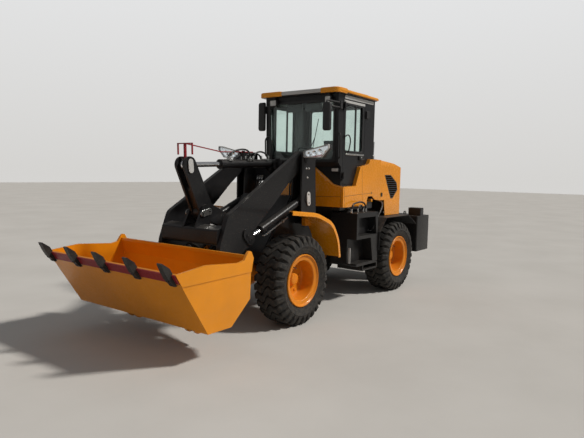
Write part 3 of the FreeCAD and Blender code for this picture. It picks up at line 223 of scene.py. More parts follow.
def paint(name, colour, rough, dust, coat, ripple, low, high, gloss):
    """Sprayed paint on plate: faint mottling and orange peel, with road dust low down and on top."""
    f = Finish(name, Coat_Weight=coat, Coat_Roughness=0.12, Specular_IOR_Level=gloss)
    tone = f.mix(f.patches(2.6, 0.3, 0.7), shade(colour, 0.93), shade(colour, 1.06))
    tone = f.mix(f.times(f.patches(90, 0.62, 0.72, 2), 0.12), tone, DUST)
    settled = f.times(f.patches(7, 0.35, 0.75, 5, 0.65), f.height(low, high))
    lying = f.times(f.upward(), f.ramp(f.noise(11, 5), (0.3, 0.25), (0.7, 0.8)))
    amount = f.times(f.math("MAXIMUM", settled, lying), dust)
    f.link(f.mix(amount, tone, DUST), "Base Color")
    wear = f.ramp(f.noise(35, 5), (0.3, rough - 0.06), (0.75, rough + 0.12))
    f.link(f.math("ADD", wear, f.times(amount, 0.5)), "Roughness")
    f.bump(f.noise(240, 2), ripple, 0.001)
    return f.material


def bare(name, colour, rough, streak=(1, 1, 1)):
    """Chrome, polished or brushed metal with fine streaks."""
    f = Finish(name, Metallic=1.0)
    lines = f.noise(60, 3, 0.5, streak)
    f.link(f.mix(f.ramp(lines, (0.3, 0.0), (0.7, 1.0)), shade(colour, 0.82), shade(colour, 1.05)), "Base Color")
    f.link(f.ramp(lines, (0.3, rough * 0.7), (0.8, rough * 1.6)), "Roughness")
    f.bump(lines, 0.04, 0.0005)
    return f.material


def rubber(name, colour, dust):
    f = Finish(name, Specular_IOR_Level=0.3)
    patch = f.patches(9, 0.35, 0.7, 6, 0.6)
    tone = f.mix(patch, shade(colour, 0.75), shade(colour, 1.25))
    lying = f.patches(23, 0.42, 0.68, 6, 0.7)
    f.link(f.mix(f.times(lying, dust), tone, shade(DUST, 0.8)), "Base Color")
    f.link(f.ramp(patch, (0.0, 0.72), (1.0, 0.9)), "Roughness")
    f.bump(f.noise(120, 4), 0.25, 0.0015)
    return f.material


def plastic(name, colour, rough, grain, strength):
    f = Finish(name)
    tone = f.mix(f.patches(5, 0.3, 0.7), shade(colour, 0.88), shade(colour, 1.12))
    lying = f.times(f.upward(), f.ramp(f.noise(14, 5), (0.4, 0.0), (0.75, 0.3)))
    f.link(f.mix(lying, tone, DUST), "Base Color")
    f.link(f.ramp(f.noise(25, 4), (0.3, rough - 0.06), (0.7, rough + 0.1)), "Roughness")
    f.bump(f.noise(grain, 2), strength, 0.0006)
    return f.material


def glazing(name, colour, see):
    """Tinted glass under a faint film of dust."""
    f = Finish(name, Roughness=0.0, IOR=1.45, Transmission_Weight=see, Specular_IOR_Level=0.35)
    f.link(f.mix(f.patches(3.5, 0.35, 0.8), colour + (1,), shade(colour, 0.9)), "Base Color")
    return f.material


def leather(name, colour):
    f = Finish(name)
    f.link(f.mix(f.patches(12, 0.3, 0.7, 5), shade(colour, 0.8), shade(colour, 1.25)), "Base Color")
    f.link(f.ramp(f.noise(40, 4), (0.3, 0.42), (0.7, 0.6)), "Roughness")
    f.bump(f.add("TexVoronoi", {"Vector": f.coords, "Scale": 260}).outputs["Distance"], 0.3, 0.001)
    return f.material


# Each row is the name and then what the maker takes, in its order.
FINISHES = (
    (paint, "body_orange", (0.74, 0.262, 0.004), 0.24, 0.08, 0.55, 0.04, 0.8, 2.0, 0.3),
    (paint, "bucket_orange", (0.70, 0.245, 0.004), 0.34, 0.12, 0.3, 0.10, 0.0, 0.9, 0.3),
    (paint, "rim_orange", (0.66, 0.205, 0.004), 0.38, 0.12, 0.2, 0.08, -0.2, 1.2, 0.2),
    (paint, "roof_orange", (0.74, 0.28, 0.012), 0.4, 0.10, 0.2, 0.05, 2.0, 2.4, 0.3),
    (paint, "frame_black", (0.011, 0.011, 0.012), 0.36, 0.10, 0.12, 0.12, 0.0, 1.2, 0.22),
    (paint, "cab_black", (0.012, 0.0125, 0.014), 0.32, 0.08, 0.2, 0.06, 1.0, 2.2, 0.25),
    (paint, "edge_red", (0.23, 0.008, 0.014), 0.42, 0.12, 0.1, 0.06, 0.0, 1.6, 0.3),
    (paint, "tooth_black", (0.014, 0.014, 0.014), 0.45, 0.2, 0.1, 0.3, 0.0, 1.6, 0.3),
    (paint, "cast_grey", (0.06, 0.06, 0.062), 0.55, 0.3, 0.0, 0.4, 0.0, 1.6, 0.3),
    (paint, "light_grey", (0.46, 0.46, 0.45), 0.4, 0.1, 0.2, 0.06, 0.0, 1.6, 0.3),
    (bare, "rod_chrome", (0.78, 0.78, 0.79), 0.12, (0.2, 4, 4)),
    (bare, "pipe_chrome", (0.8, 0.8, 0.82), 0.1, (4, 4, 0.3)),
    (bare, "zinc", (0.62, 0.62, 0.60), 0.3),
    (bare, "mirror", (0.85, 0.87, 0.88), 0.02),
    (rubber, "tyre", (0.017, 0.0165, 0.016), 0.16),
    (plastic, "plastic_black", (0.014, 0.014, 0.015), 0.5, 320, 0.12),
    (plastic, "hose", (0.012, 0.012, 0.012), 0.42, 500, 0.2),
    (plastic, "lamp", (0.55, 0.55, 0.53), 0.2, 60, 0.4),
    (leather, "seat_black", (0.03, 0.03, 0.033)),
    (glazing, "glass", (0.86, 0.965, 0.93), 1.0),
    (glazing, "clear", (0.95, 0.97, 0.98), 1.0),
    (glazing, "amber", (0.85, 0.30, 0.02), 0.6),
    (glazing, "red_lens", (0.60, 0.02, 0.02), 0.5),
)
MATERIALS = {name: make(name, *values) for make, name, *values in FINISHES}

for part in SUBPARTS:
    mesh = frame["nodes"][part["node"]].data
    for place in range(len(mesh.materials)):
        mesh.materials[place] = MATERIALS[part["material_slot"]]
    if not mesh.materials:
        mesh.materials.append(MATERIALS[part["material_slot"]])


# Tyres: wavy bars across the tread, stepped at the middle, wrapped over each shoulder

TYRE_RADIUS = 537.5
LUGS = 30
RIM_MIDDLE = 750        # from the machine's middle plane
TYRE_INBOARD = 22       # the tyre's middle stands this far inboard of the rim's
WHEELS = (
    ("front_left", 1285, 1), ("front_right", 1285, -1), ("rear_left", -1285, 1), ("rear_right", -1285, -1),
)

# (floor of the groove, top of the lug) across half the tyre, each (from its middle, radius)
TREAD = [
    ((0, 504.5), (0, 537.5)), ((22, 504.5), (22, 537.4)), ((44, 504.4), (44, 537.2)), ((66, 504.3), (66, 536.8)),
    ((90, 504), (90, 536)), ((112, 502.5), (112, 535)), ((128, 499), (132, 533.2)), ((141, 492), (149, 529)),
    ((151, 482), (160, 521.5)), ((160, 470), (169, 509)), ((169, 457), (178, 490)), ((179, 443), (187, 466)),
    ((189, 424), (194, 437)),
]
# the plain sidewall, down to the bead
SIDEWALL = [
    (193.5, 417), (196, 414.5), (196.5, 410.5), (194, 408), (190, 398), (185, 386), (179, 372), (180, 369),
    (178.5, 366), (174, 360), (170, 348), (165.5, 339), (166.5, 335), (164.5, 331), (158, 323), (153, 316.5),
    (151, 315.3), (136, 315.3),
]


def ease(low, high, value):
    """Rises smoothly from 0 at low to 1 at high."""
    t = min(1, max(0, (value - low) / (high - low)))
    return t * t * (3 - 2 * t)


def tyre_mesh(name, side):
    """side is 1 for a left wheel; the bars step forward on the outer half."""
    rows = []
    for half in (-1, 1):
        part = [(half * a[0], a[1], half * b[0], b[1], True) for a, b in TREAD[(1 if half < 0 else 0):]]
        part += [(half * y, r, half * y, r, False) for y, r in SIDEWALL]
        rows = (list(reversed(part)) if half < 0 else rows + part)
    verts, faces = [], []
    pitch = 2 * math.pi / LUGS
    for y0, r0, y1, r1, tread in rows:
        reach = abs(y1)
        outward = 1 if y1 * side > 0 else -1
        floor = 0.050 + 0.120 * ease(110, 180, reach)
        top = floor + 0.065
        step = pitch * 0.75 * ease(-60, 60, y1 * side)
        wave = pitch * 0.16 * math.sin(math.pi * min(reach, 150) / 75) * outward
        profile = [(floor, 0), (top, 0.88), (top + 0.03, 1), (0.3, 1), (0.5, 1), (0.7, 1),
                   (0.97 - top, 1), (1 - top, 0.88), (1 - floor, 0)]
        for lug in range(LUGS):
            for along, rise in profile:
                angle = (lug + along) * pitch + step + wave + 0.03
                share = rise if tread else 0
                y = y0 + (y1 - y0) * share
                r = r0 + (r1 - r0) * share
                inboard = TYRE_INBOARD * (1 if outward > 0 else ease(316, 420, r))
                spot = Vector((r * math.cos(angle), y - side * inboard, r * math.sin(angle)))
                verts.append(spot / 1000)
    ring = LUGS * len(profile)
    for row in range(len(rows) - 1):
        for k in range(ring):
            a = row * ring + k
            b = row * ring + (k + 1) % ring
            faces.append((a, b, b + ring, a + ring))
    data = bpy.data.meshes.new(name)
    data.from_pydata(verts, [], faces)
    smooth(data, 38)
    data.materials.append(MATERIALS["tyre"])
    return data


def smooth(data, degrees):
    """Smooth faces, with an edge kept sharp where they turn by more than the angle."""
    for face in data.polygons:
        face.use_smooth = True
    data.set_sharp_from_angle(angle=math.radians(degrees))


def wheels():
    meshes = {1: tyre_mesh("tyre_left", 1), -1: tyre_mesh("tyre_right", -1)}
    for name, x, side in WHEELS:
        body = link_object("tread_" + name, meshes[side])
        body.location = at(x, side * RIM_MIDDLE, TYRE_RADIUS)
        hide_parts("tyre_" + name)
        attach(body, "wheel_" + name)


wheels()


# Outlines, in one plane; a point (u, v, radius) is a rounded corner

def rounded(points, steps=6):
    outline = []
    for i, point in enumerate(points):
        here = Vector(point[:2])
        if len(point) == 2:
            outline.append(here)
            continue
        back = (Vector(points[i - 1][:2]) - here).normalized()
        on = (Vector(points[(i + 1) % len(points)][:2]) - here).normalized()
        half = back.angle(on) / 2
        start = here + back * point[2] / math.tan(half)
        end = here + on * point[2] / math.tan(half)
        centre = here + (back + on).normalized() * point[2] / math.sin(half)
        first = math.atan2(start.y - centre.y, start.x - centre.x)
        sweep = math.remainder(math.atan2(end.y - centre.y, end.x - centre.x) - first, 2 * math.pi)
        for k in range(steps + 1):
            angle = first + sweep * k / steps
            outline.append(centre + Vector((math.cos(angle), math.sin(angle))) * point[2])
    return outline


def box_outline(u0, u1, v0, v1, radius=0):
    corner = (radius,) if radius else ()
    return [(u0, v0) + corner, (u1, v0) + corner, (u1, v1) + corner, (u0, v1) + corner]


def capsule_outline(u0, v0, u1, v1, radius, steps=10):
    heading = math.atan2(v1 - v0, u1 - u0)
    outline = []
    for u, v, start in ((u1, v1, heading - math.pi / 2), (u0, v0, heading + math.pi / 2)):
        for k in range(steps + 1):
            angle = start + math.pi * k / steps
            outline.append((u + radius * math.cos(angle), v + radius * math.sin(angle)))
    return outline


def strip_outline(line, gauge):
    """A strip's closed outline: a line that runs forward, and the same line a gauge below it."""
    under = []
    for i, (u, v) in enumerate(line):
        before, after = line[max(i - 1, 0)], line[min(i + 1, len(line) - 1)]
        run = Vector((after[0] - before[0], after[1] - before[1])).normalized()
        under.append((u + run.y * gauge, v - run.x * gauge))
    return line + under[::-1]


def bent(points, radius, steps=6):
    """A line in space with its inner corners rounded."""
    path = [Vector(points[0])]
    for before, here, after in zip(points, points[1:], points[2:]):
        corner = Vector(here)
        back = Vector(before) - corner
        on = Vector(after) - corner
        reach = min(radius, back.length * 0.48, on.length * 0.48)
        start = corner + back.normalized() * reach
        end = corner + on.normalized() * reach
        for k in range(steps + 1):
            t = k / steps
            path.append(start * (1 - t) ** 2 + corner * 2 * t * (1 - t) + end * t ** 2)
    return path + [Vector(points[-1])]


def run_at(path, i):
    """The direction of a path at one of its points."""
    return (path[min(i + 1, len(path) - 1)] - path[max(i - 1, 0)]).normalized()


def grown(flat, centre, share, upright=None):
    """An outline drawn in or out about its centre, upright by another share if one is given."""
    rise = share if upright is None else upright
    return [(centre[0] + (u - centre[0]) * share, centre[1] + (v - centre[1]) * rise) for u, v in flat]


def crosswise(heading):
    ahead = Vector(heading).normalized()
    across = ahead.orthogonal().normalized()
    return ahead, across, ahead.cross(across)


VIEWS = {
    "side": lambda u, v, depth: (u, depth, v),
    "front": lambda u, v, depth: (depth, u, v),
    "plan": lambda u, v, depth: (u, v, depth),
}
OUT = (0, 1, 0)
UP = (0, 0, 1)
AHEAD = (1, 0, 0)
BACK = (-1, 0, 0)


class Kit:
    """Gathers the faces of one piece. With side = -1, what is drawn for the left lands on the right."""

    def __init__(self, side=1):
        self.mesh = bmesh.new()
        self.side = side

    def mirrored(self, spot):
        return Vector((spot[0], self.side * spot[1], spot[2]))

    def shell(self, rings, closed=False):
        """Faces between rings of points, capped at both ends unless the rings close."""
        made = [[self.mesh.verts.new(spot) for spot in ring] for ring in rings]
        pairs = list(zip(made, made[1:])) + ([(made[-1], made[0])] if closed else [])
        for near, far in pairs:
            for k in range(len(near)):
                after = (k + 1) % len(near)
                self.mesh.faces.new((near[k], near[after], far[after], far[k]))
        if not closed:
            self.mesh.faces.new(made[0])
            self.mesh.faces.new(made[-1])

    def skin(self, rings, closed=False):
        self.shell([[self.mirrored(spot) for spot in ring] for ring in rings], closed)

    def stack(self, view, layers, closed=False):
        """Flat outlines, each at its depth, joined into one shell."""
        self.skin([[VIEWS[view](u, v, depth) for u, v in flat] for depth, flat in layers], closed)

    def prism(self, view, outline, near, far):
        flat = rounded(outline)
        self.stack(view, [(near, flat), (far, flat)])

    def frame(self, view, outline, inner, near, far):
        """A flat frame between two outlines with the same number of corners."""
        outside, inside = rounded(outline), rounded(inner)
        self.stack(view, [(near, outside), (far, outside), (far, inside), (near, inside)], closed=True)

    def box(self, x0, x1, y0, y1, z0, z1):
        self.prism("plan", box_outline(x0, x1, y0, y1), z0, z1)

    def tube(self, points, radius, bend=40, sides=12):
        path = bent([self.mirrored(spot) for spot in points], bend)
        across = run_at(path, 0).orthogonal()
        rings = []
        for i, spot in enumerate(path):
            ahead = run_at(path, i)
            across = (across - ahead * across.dot(ahead)).normalized()
            other = ahead.cross(across)
            rings.append([spot + (across * math.cos(a) + other * math.sin(a)) * radius
                          for a in (2 * math.pi * k / sides for k in range(sides))])
        self.shell(rings)

    def turned(self, start, heading, profile, sides=24, turn=0.0):
        """A revolved piece: profile is (distance along, radius) from the start."""
        ahead, across, other = crosswise(self.mirrored(heading))
        rings = []
        for along, radius in profile:
            centre = self.mirrored(start) + ahead * along
            rings.append([centre + (across * math.cos(a) + other * math.sin(a)) * radius
                          for a in (turn + 2 * math.pi * k / sides for k in range(sides))])
        self.shell(rings)

    def bolt(self, place, heading, size=12, washer=True):
        """A hexagon head on its washer, sunk by a millimetre."""
        base = Vector(place) - Vector(heading).normalized()
        if washer:
            self.turned(base, heading, [(0, size * 1.3), (size * 0.22, size * 1.3)], 20)
        self.turned(base, heading, [(0, size), (size * 0.75, size), (size * 0.9, size * 0.82)], 6, 0.3)

    def bolt_ring(self, centre, heading, radius, count, size, washer=False):
        _, across, other = crosswise(self.mirrored(heading))
        for k in range(count):
            angle = 2 * math.pi * (k + 0.5) / count
            spot = self.mirrored(centre) + (across * math.cos(angle) + other * math.sin(angle)) * radius
            self.bolt(self.mirrored(spot), heading, size, washer)

    def loop(self, first, last, reach, radius, bend, sides=12):
        """A bar bent into a U between two points; reach is the step out from both."""
        first, last, reach = Vector(first), Vector(last), Vector(reach)
        self.tube([first, first + reach, last + reach, last], radius, bend, sides)

    def hose_end(self, place, heading):
        """A hexagon nut and its ferrule."""
        self.turned(place, heading, [(-6, 14), (14, 14)], 6)
        ferrule = Vector(place) + Vector(heading).normalized() * 13
        self.turned(ferrule, heading, [(0, 12.88), (34, 12.88), (38, 11.2)], 16)

    def done(self, name, finish, body, bevel=0, stands_for=(), slot=None):
        """Makes the object; the slot argument is not used."""
        bmesh.ops.recalc_face_normals(self.mesh, faces=self.mesh.faces)
        for vert in self.mesh.verts:
            vert.co = at(*vert.co)
        data = bpy.data.meshes.new(name)
        self.mesh.to_mesh(data)
        self.mesh.free()
        data.materials.append(MATERIALS[finish])
        smooth(data, 35)
        piece = link_object(name, data)
        if bevel:
            edge = piece.modifiers.new("edges", "BEVEL")
            edge.width = bevel / 1000
            edge.segments = 2
            edge.limit_method = "ANGLE"
            edge.angle_limit = math.radians(40)
        if stands_for:
            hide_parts(*stands_for)
        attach(piece, body)
        return piece


def both(*kits):
    """Steps through left and right, turning the pieces' drawing to each side."""
    for side in (1, -1):
        for kit in kits:
            kit.side = side
        yield side
    for kit in kits:
        kit.side = 1


# Wheels: deep dished rims, nuts, hub caps and valves

# (outboard of the rim's middle, radius): hub cap, disc, barrel, dished flange, lip, back along the tyre's seat
RIM = [
    (22, 20), (21, 55), (16, 66), (4, 72), (-30, 76), (-38, 84), (-41, 106), (-44, 120), (-46, 200), (-44, 212),
    (-34, 221), (-15, 226), (106, 236), (118, 238), (124, 243), (127, 252), (129, 272), (133, 286), (141, 294),
    (147, 298), (150, 304), (149, 310), (144, 314.8), (132, 315), (112, 314), (102, 300), (-126, 300),
    (-136, 314.8), (-150, 314.8), (-150, 296), (-146, 286), (-70, 280), (-58, 110),
]


def wheel_fittings():
    for name, x, side in WHEELS:
        body = "wheel_" + name
        dish = Kit(side)
        dish.turned((x, RIM_MIDDLE, TYRE_RADIUS), OUT, RIM, 72)
        dish.done("dish_" + name, "rim_orange", body, 0, ("rim_" + name,))
        nuts = Kit(side)
        nuts.bolt_ring((x, 704.5, TYRE_RADIUS), OUT, 160, 10, 15, True)
        nuts.bolt_ring((x, 770.5, TYRE_RADIUS), OUT, 46, 6, 6)
        nuts.done("nuts_" + name, "rim_orange", body, 0.8)
        valve = Kit(side)
        line = ((190, 872, 186), (188, 896, 184), (172, 908, 168))
        valve.tube([(x + ahead, y, TYRE_RADIUS + up) for ahead, y, up in line], 5, 10, 8)
        valve.done("valve_" + name, "plastic_black", body)


# Cab: roof, lamps, mirrors, seals, rails, wiper

def cab_roof():
    shell = Kit()
    edge = rounded([(-895, -690, 60), (269, -690, 85), (269, 690, 85), (-895, 690, 60)], 8)
    rings = []
    for z, grow in ((2912, -12), (2918, 0), (2938, 0), (2950, -10), (2956, -30)):
        rings.append([(u + (grow if u > -300 else -grow), v + (grow if v > 0 else -grow),
                       z - 14 * ease(280, -890, u)) for u, v in edge])
    shell.skin(rings)
    crown = rounded(box_outline(-820, 100, -600, 600, 90), 8)
    shell.stack("plan", [(z, grown(crown, (-360, 0), share))
                         for z, share in ((2930, 1), (2965, 0.985), (2978, 0.95), (2985, 0.84))])
    for side, inner in ((1, 390), (-1, 270)):
        shell.side = side
        cap = rounded([(20, inner, 30), (285, inner, 25), (285, 685, 80), (20, 685, 30)])
        middle = (150, (inner + 685) / 2)
        shell.stack("plan", [(z, grown(cap, middle, share)) for z, share in
                             ((2893, 0.96), (2900, 1), (2952, 1), (2962, 0.95), (2967, 0.80))])
    shell.done("roof_shell", "roof_orange", "rear_body", 0, ("cab_roof",))
    under = Kit()
    under.prism("plan", box_outline(-873.675, 265.025, -665.85, 665.85, 50), 2891, 2915)
    under.done("roof_underside", "cab_black", "rear_body", 4)
    # A light grey plate over the roof's front edge, between the two caps, is a painted sky reflection.
    middle = Kit()
    middle.prism("plan", box_outline(100, 274, -280, 400), 2904, 2958)
    middle.done("roof_painted_reflection", "light_grey", "rear_body", 8)
    stub = Kit()
    stub.turned((-600, 520, 2930), UP, [(0, 14), (12, 12), (18, 6), (50, 5)], 12)
    stub.done("aerial", "plastic_black", "rear_body")


def work_lamps():
    for name, low, high in (("left", 445, 545), ("right", -510, -385)):
        middle = (low + high) / 2
        outer = box_outline(low, high, 2765, 2855, 18)
        inner = box_outline(low + 8, high - 8, 2773, 2847, 12)
        shell = Kit()
        shell.frame("front", outer, inner, 236, 250)
        shell.prism("front", outer, 205, 238)
        shell.stack("front", [(x, grown(rounded(outer), (middle, 2810), share))
                              for x, share in ((206, 0.98), (192, 0.6))])
        shell.box(200, 232, middle - 18, middle + 18, 2853, 2893)
        shell.bolt((216, middle + 18, 2870), OUT, 8)
        shell.done("work_lamp_" + name, "plastic_black", "rear_body", 2, ("work_lamps",) if name == "left" else ())
        lens = Kit()
        lens.prism("front", inner, 238.5, 246)
        rib = 1.5
        for k in range(1, 6):
            y = low + (high - low) * k / 6
            lens.box(245.5, 247.5, y - rib, y + rib, 2778, 2842)
        for k in range(1, 5):
            z = 2773 + 74 * k / 5
            lens.box(245.5, 247.5, low + 12, high - 12, z - rib, z + rib)
        lens.done("work_lens_" + name, "lamp", "rear_body", 0.8)


def mirrors():
    half = 62
    for name, side, x, y, low, high, arm in (
            ("left", 1, 460, 630, 2370, 2740, 2765), ("right", -1, 200, 690, 2420, 2840, 2800)):
        middle = (low + high) / 2
        outer = rounded(box_outline(y - half, y + half, low, high, 28))
        shell = Kit(side)
        shell.stack("front", [(x + ahead, grown(outer, (y, middle), share, 0.6 + 0.4 * share)) for ahead, share in
                              ((-16, 0.98), (-12, 1), (6, 0.97), (20, 0.84), (25, 0.55))])
        shell.tube([(135, 640, 2700), (x + 10, y - 10, 2700)], 11, 20)
        shell.tube([(135, 640, 2765), (x + 10, y, arm), (x + 12, y, high - 30)], 11)
        shell.box(112, 165, 630, 656, 2675, 2785)
        for z in (2690, 2775):
            shell.bolt((138, 656, z), OUT, 9)
        shell.turned((x + 10, y, middle - 100), UP, [(0, 12), (200, 12)], 12)
        shell.done("mirror_" + name, "plastic_black", "rear_body", 2, ("mirrors",) if side > 0 else ())
        glass = Kit(side)
        glass.prism("front", box_outline(y - half + 8, y + half - 8, low + 8, high - 8, 22), x - 18.5, x - 15)
        glass.done("mirror_glass_" + name, "mirror", "rear_body")


def door_trim(name, side):
    body = "door_" + name
    # A light grey strip above the door glass is a painted reflection on the cab side.
    strip = Kit(side)
    strip.prism("side", box_outline(-545, 30, 2784, 2818, 6), 629, 635)
    strip.done("door_painted_reflection_" + name, "light_grey", body, 1)
    sill = Kit(side)
    sill.prism("side", box_outline(-545, -30, 2070, 2094, 10), 629, 642)
    sill.done("door_sill_" + name, "zinc", body, 2)
    trim = Kit(side)
    ring = box_outline(-512, 7, 2108, 2782, 40)
    hole = box_outline(-488, -17, 2132, 2758, 22)
    for near, far in ((625.5, 633.5), (581.5, 586.5)):
        trim.frame("side", ring, hole, near, far)
    trim.box(-330, -302, 600, 620, 2120, 2770)
    trim.tube([(20, 624, 1675), (20, 624, 2090)], 6, 10, 8)
    trim.loop((-488, 650, 2018), (-412, 650, 2018), (0, 22, 0), 7, 12, 10)
    trim.prism("side", box_outline(-505, -395, 2004, 2066, 12), 630, 654)
    trim.done("door_trim_" + name, "plastic_black", body, 1)
    lock = Kit(side)
    lock.turned((-450, 653, 2046), OUT, [(0, 11), (4, 11), (6, 8)], 16)
    lock.done("door_lock_" + name, "zinc", body)
    rail = Kit(side)
    rail.tube([(24, 632, 2315), (16, 660, 2325), (-25, 664, 2348), (-78, 664, 2331), (-106, 664, 2271),
               (-86, 664, 2190), (-66, 660, 2119), (-66, 632, 2100)], 9, 30)
    rail.done("door_rail_" + name, "plastic_black", body)


def cab_trim():
    # A light grey band along the cab side above the doors is a painted reflection.
    band = Kit()
    for _ in both(band):
        band.prism("side", box_outline(-800, 20, 2835, 2884, 12), 629, 636)
    band.done("cab_painted_reflection", "light_grey", "rear_body", 1)
    for name, side in SIDES:
        door_trim(name, side)
    seal = Kit()
    ring = rounded([(-575, 1968, 40), (575, 1968, 40), (580, 2818, 50), (-580, 2818, 50)])
    hole = rounded([(-545, 1998, 30), (545, 1998, 30), (550, 2788, 40), (-550, 2788, 40)])
    slope = 0.027
    seal.skin([[(157 + (z - 1968) * slope + ahead, y, z) for y, z in flat]
               for flat, ahead in ((ring, 0), (ring, 6), (hole, 6), (hole, -12))], closed=True)
    seal.frame("front", box_outline(-540, 540, 2060, 2820, 50), box_outline(-508, 508, 2092, 2788, 30),
               -856, -848)
    seal.done("window_seals", "plastic_black", "rear_body", 1)
    rails = Kit()
    rails.tube([(120, -518, 1855), (150, -524, 1880), (165, -524, 2120), (175, -533, 2300), (178, -578, 2346),
                (175, -640, 2300), (165, -641, 2064), (140, -632, 2040)], 11)
    rails.tube([(135, 632, 2020), (150, 655, 2040), (158, 655, 2340), (140, 632, 2360)], 10, 30)
    rails.done("cab_rails", "plastic_black", "rear_body")
    bits = Kit()
    for _ in both(bits):
        bits.prism("side", box_outline(-655, -572, 2620, 2725, 8), 629, 655)
    # wiper: spindle, arm and blade, lying along the screen
    bits.turned((158, 100, 1975), (1, 0, 0.15), [(0, 20), (22, 18), (30, 10)], 16)
    bits.tube([(185, 100, 1985), (186, 160, 2100), (186, 260, 2300)], 6, 20, 8)
    bits.tube([(176, 200, 2060), (190, 320, 2560)], 5, 20, 8)
    bits.prism("front", box_outline(500, 610, 1835, 1885, 10), 80, 112)
    bits.done("cab_fittings", "plastic_black", "rear_body", 2)
    marker = Kit()
    marker.prism("front", box_outline(506, 604, 1840, 1880, 8), 111, 118)
    marker.prism("front", box_outline(-604, -506, 1840, 1880, 8), 81, 118)
    marker.done("front_markers", "lamp", "rear_body", 2)


# Cab inside: a padded seat, console, levers, floor mat

def cushion(name, centre, half, lean, channels):
    """A crowned pad with a welt round its rim and sewn channels; lean turns it back about the Y axis."""
    steps = 30
    turn = Matrix.Rotation(math.radians(lean), 4, "Y")

    def seam(distance, depth):
        return math.exp(-(distance / 10) ** 2) * depth

    def spot(a, b, face):
        s, t = math.sin(a * math.pi / 2), math.sin(b * math.pi / 2)
        swell = max(0.0, (1 - s ** 6) * (1 - t ** 6)) ** 0.38
        dip = sum(seam((t - line) * half[1], 11) for line in channels) + seam((s + 0.25) * half[0], 8)
        rise = face * half[2] * swell * (1 + 0.10 * (1 - s * s) * (1 - t * t)) / 1.1
        if face > 0:
            rise -= dip * swell
        local = Vector((half[0] * s * (1 - 0.035 * (1 - t * t)), half[1] * t * (1 - 0.03 * (1 - s * s)), rise))
        return Vector(centre) + turn @ local

    kit = Kit()
    grid = {}
    for face in (1, -1):
        for i in range(-steps, steps + 1):
            for j in range(-steps, steps + 1):
                key = (i, j, 0 if steps in (abs(i), abs(j)) else face)
                if key not in grid:
                    grid[key] = kit.mesh.verts.new(spot(i / steps, j / steps, face))
        for i in range(-steps, steps):
            for j in range(-steps, steps):
                corners = ((i, j), (i + 1, j), (i + 1, j + 1), (i, j + 1))
                kit.mesh.faces.new([grid.get((a, b, face)) or grid[(a, b, 0)] for a, b in corners])
    pad = kit.done(name, "seat_black", "rear_body")
    welt = Kit()
    edge = [k / 12 for k in range(-12, 12)]
    rim = [(k, -1) for k in edge] + [(1, k) for k in edge]
    rim += [(-k, 1) for k in edge] + [(-1, -k) for k in edge + [1]]
    welt.tube([spot(a, b, 1) for a, b in rim], 4.5, 4, 8)
    welt.done(name + "_welt", "plastic_black", "rear_body")


def seat():
    base = Kit()
    for k in range(6):
        grow = 12 if k % 2 else 0
        fold = box_outline(-530 - grow, -210 + grow, -170 - grow, 170 + grow, 30)
        base.prism("plan", fold, 1360 + 36 * k, 1396 + 36 * k)
    base.prism("plan", box_outline(-580, -160, -210, 210, 30), 1345, 1362)
    base.prism("plan", box_outline(-580, -150, -220, 220, 40), 1575, 1610)
    base.prism("side", [(-585, 1600), (-560, 1600), (-665, 2160), (-690, 2160)], -180, 180)
    for _ in both(base):
        base.prism("side", [(-600, 1800, 10), (-280, 1830, 20), (-280, 1865, 20), (-610, 1840, 10)], 235, 275)
        base.tube([(-600, 230, 1820), (-585, 230, 1660)], 12, 20)
        base.tube([(-668, 70, 2140), (-672, 70, 2220)], 6, 10, 8)
    base.done("seat_base", "plastic_black", "rear_body", 3, ("seat",))
    cushion("seat_cushion", (-365, 0, 1662), (235, 245, 55), -4, (-0.4, 0.4))
    cushion("seat_back", (-590, 0, 1950), (245, 230, 52), -79, (-0.4, 0.4))
    cushion("headrest", (-655, 0, 2245), (68, 130, 40), -79, ())


def cab_inside():
    kit = Kit()
    kit.prism("side", [(-550, 1345), (-20, 1345), (-60, 1660, 30), (-300, 1720, 30), (-550, 1740, 30)], -540, -320)
    kit.prism("side", [(-790, 1345), (-700, 1345), (-720, 1980, 30), (-790, 1980)], -550, 550)
    for x, y in ((-160, -400), (-220, -460), (-100, -460)):
        kit.tube([(x, y, 1660), (x - 20, y, 1900)], 7, 20, 8)
        knob = [(0, 12), (15, 20), (45, 22), (62, 15), (68, 6)]
        kit.turned((x - 19.5, y, 1875), (-0.08, 0, 1), knob, 16)
    kit.prism("plan", box_outline(-700, 30, -570, 570, 20), 1344.5, 1352)
    for y in (-160, 160):
        kit.prism("side", [(0, 1360), (20, 1360), (-30, 1460), (-50, 1460)], y - 40, y + 40)
    # instrument hood on the column, and the panel over the screen
    kit.prism("side", [(-130, 1980, 20), (40, 2020, 20), (50, 2060, 20), (-80, 2050, 20)], -200, 200)
    kit.prism("side", box_outline(-30, 100, 2790, 2840, 10), -500, 500)
    kit.done("cab_inside", "plastic_black", "rear_body", 2)
    for name, y in (("right", -300), ("left", 20)):
        visor = Kit()
        visor.prism("front", box_outline(y, y + 280, 2680, 2795, 20), 85, 93)
        visor.done("visor_" + name, "plastic_black", "rear_body", 2)


# Lamp clusters beside the tower tops: dark shell, bright bowls, clear cover

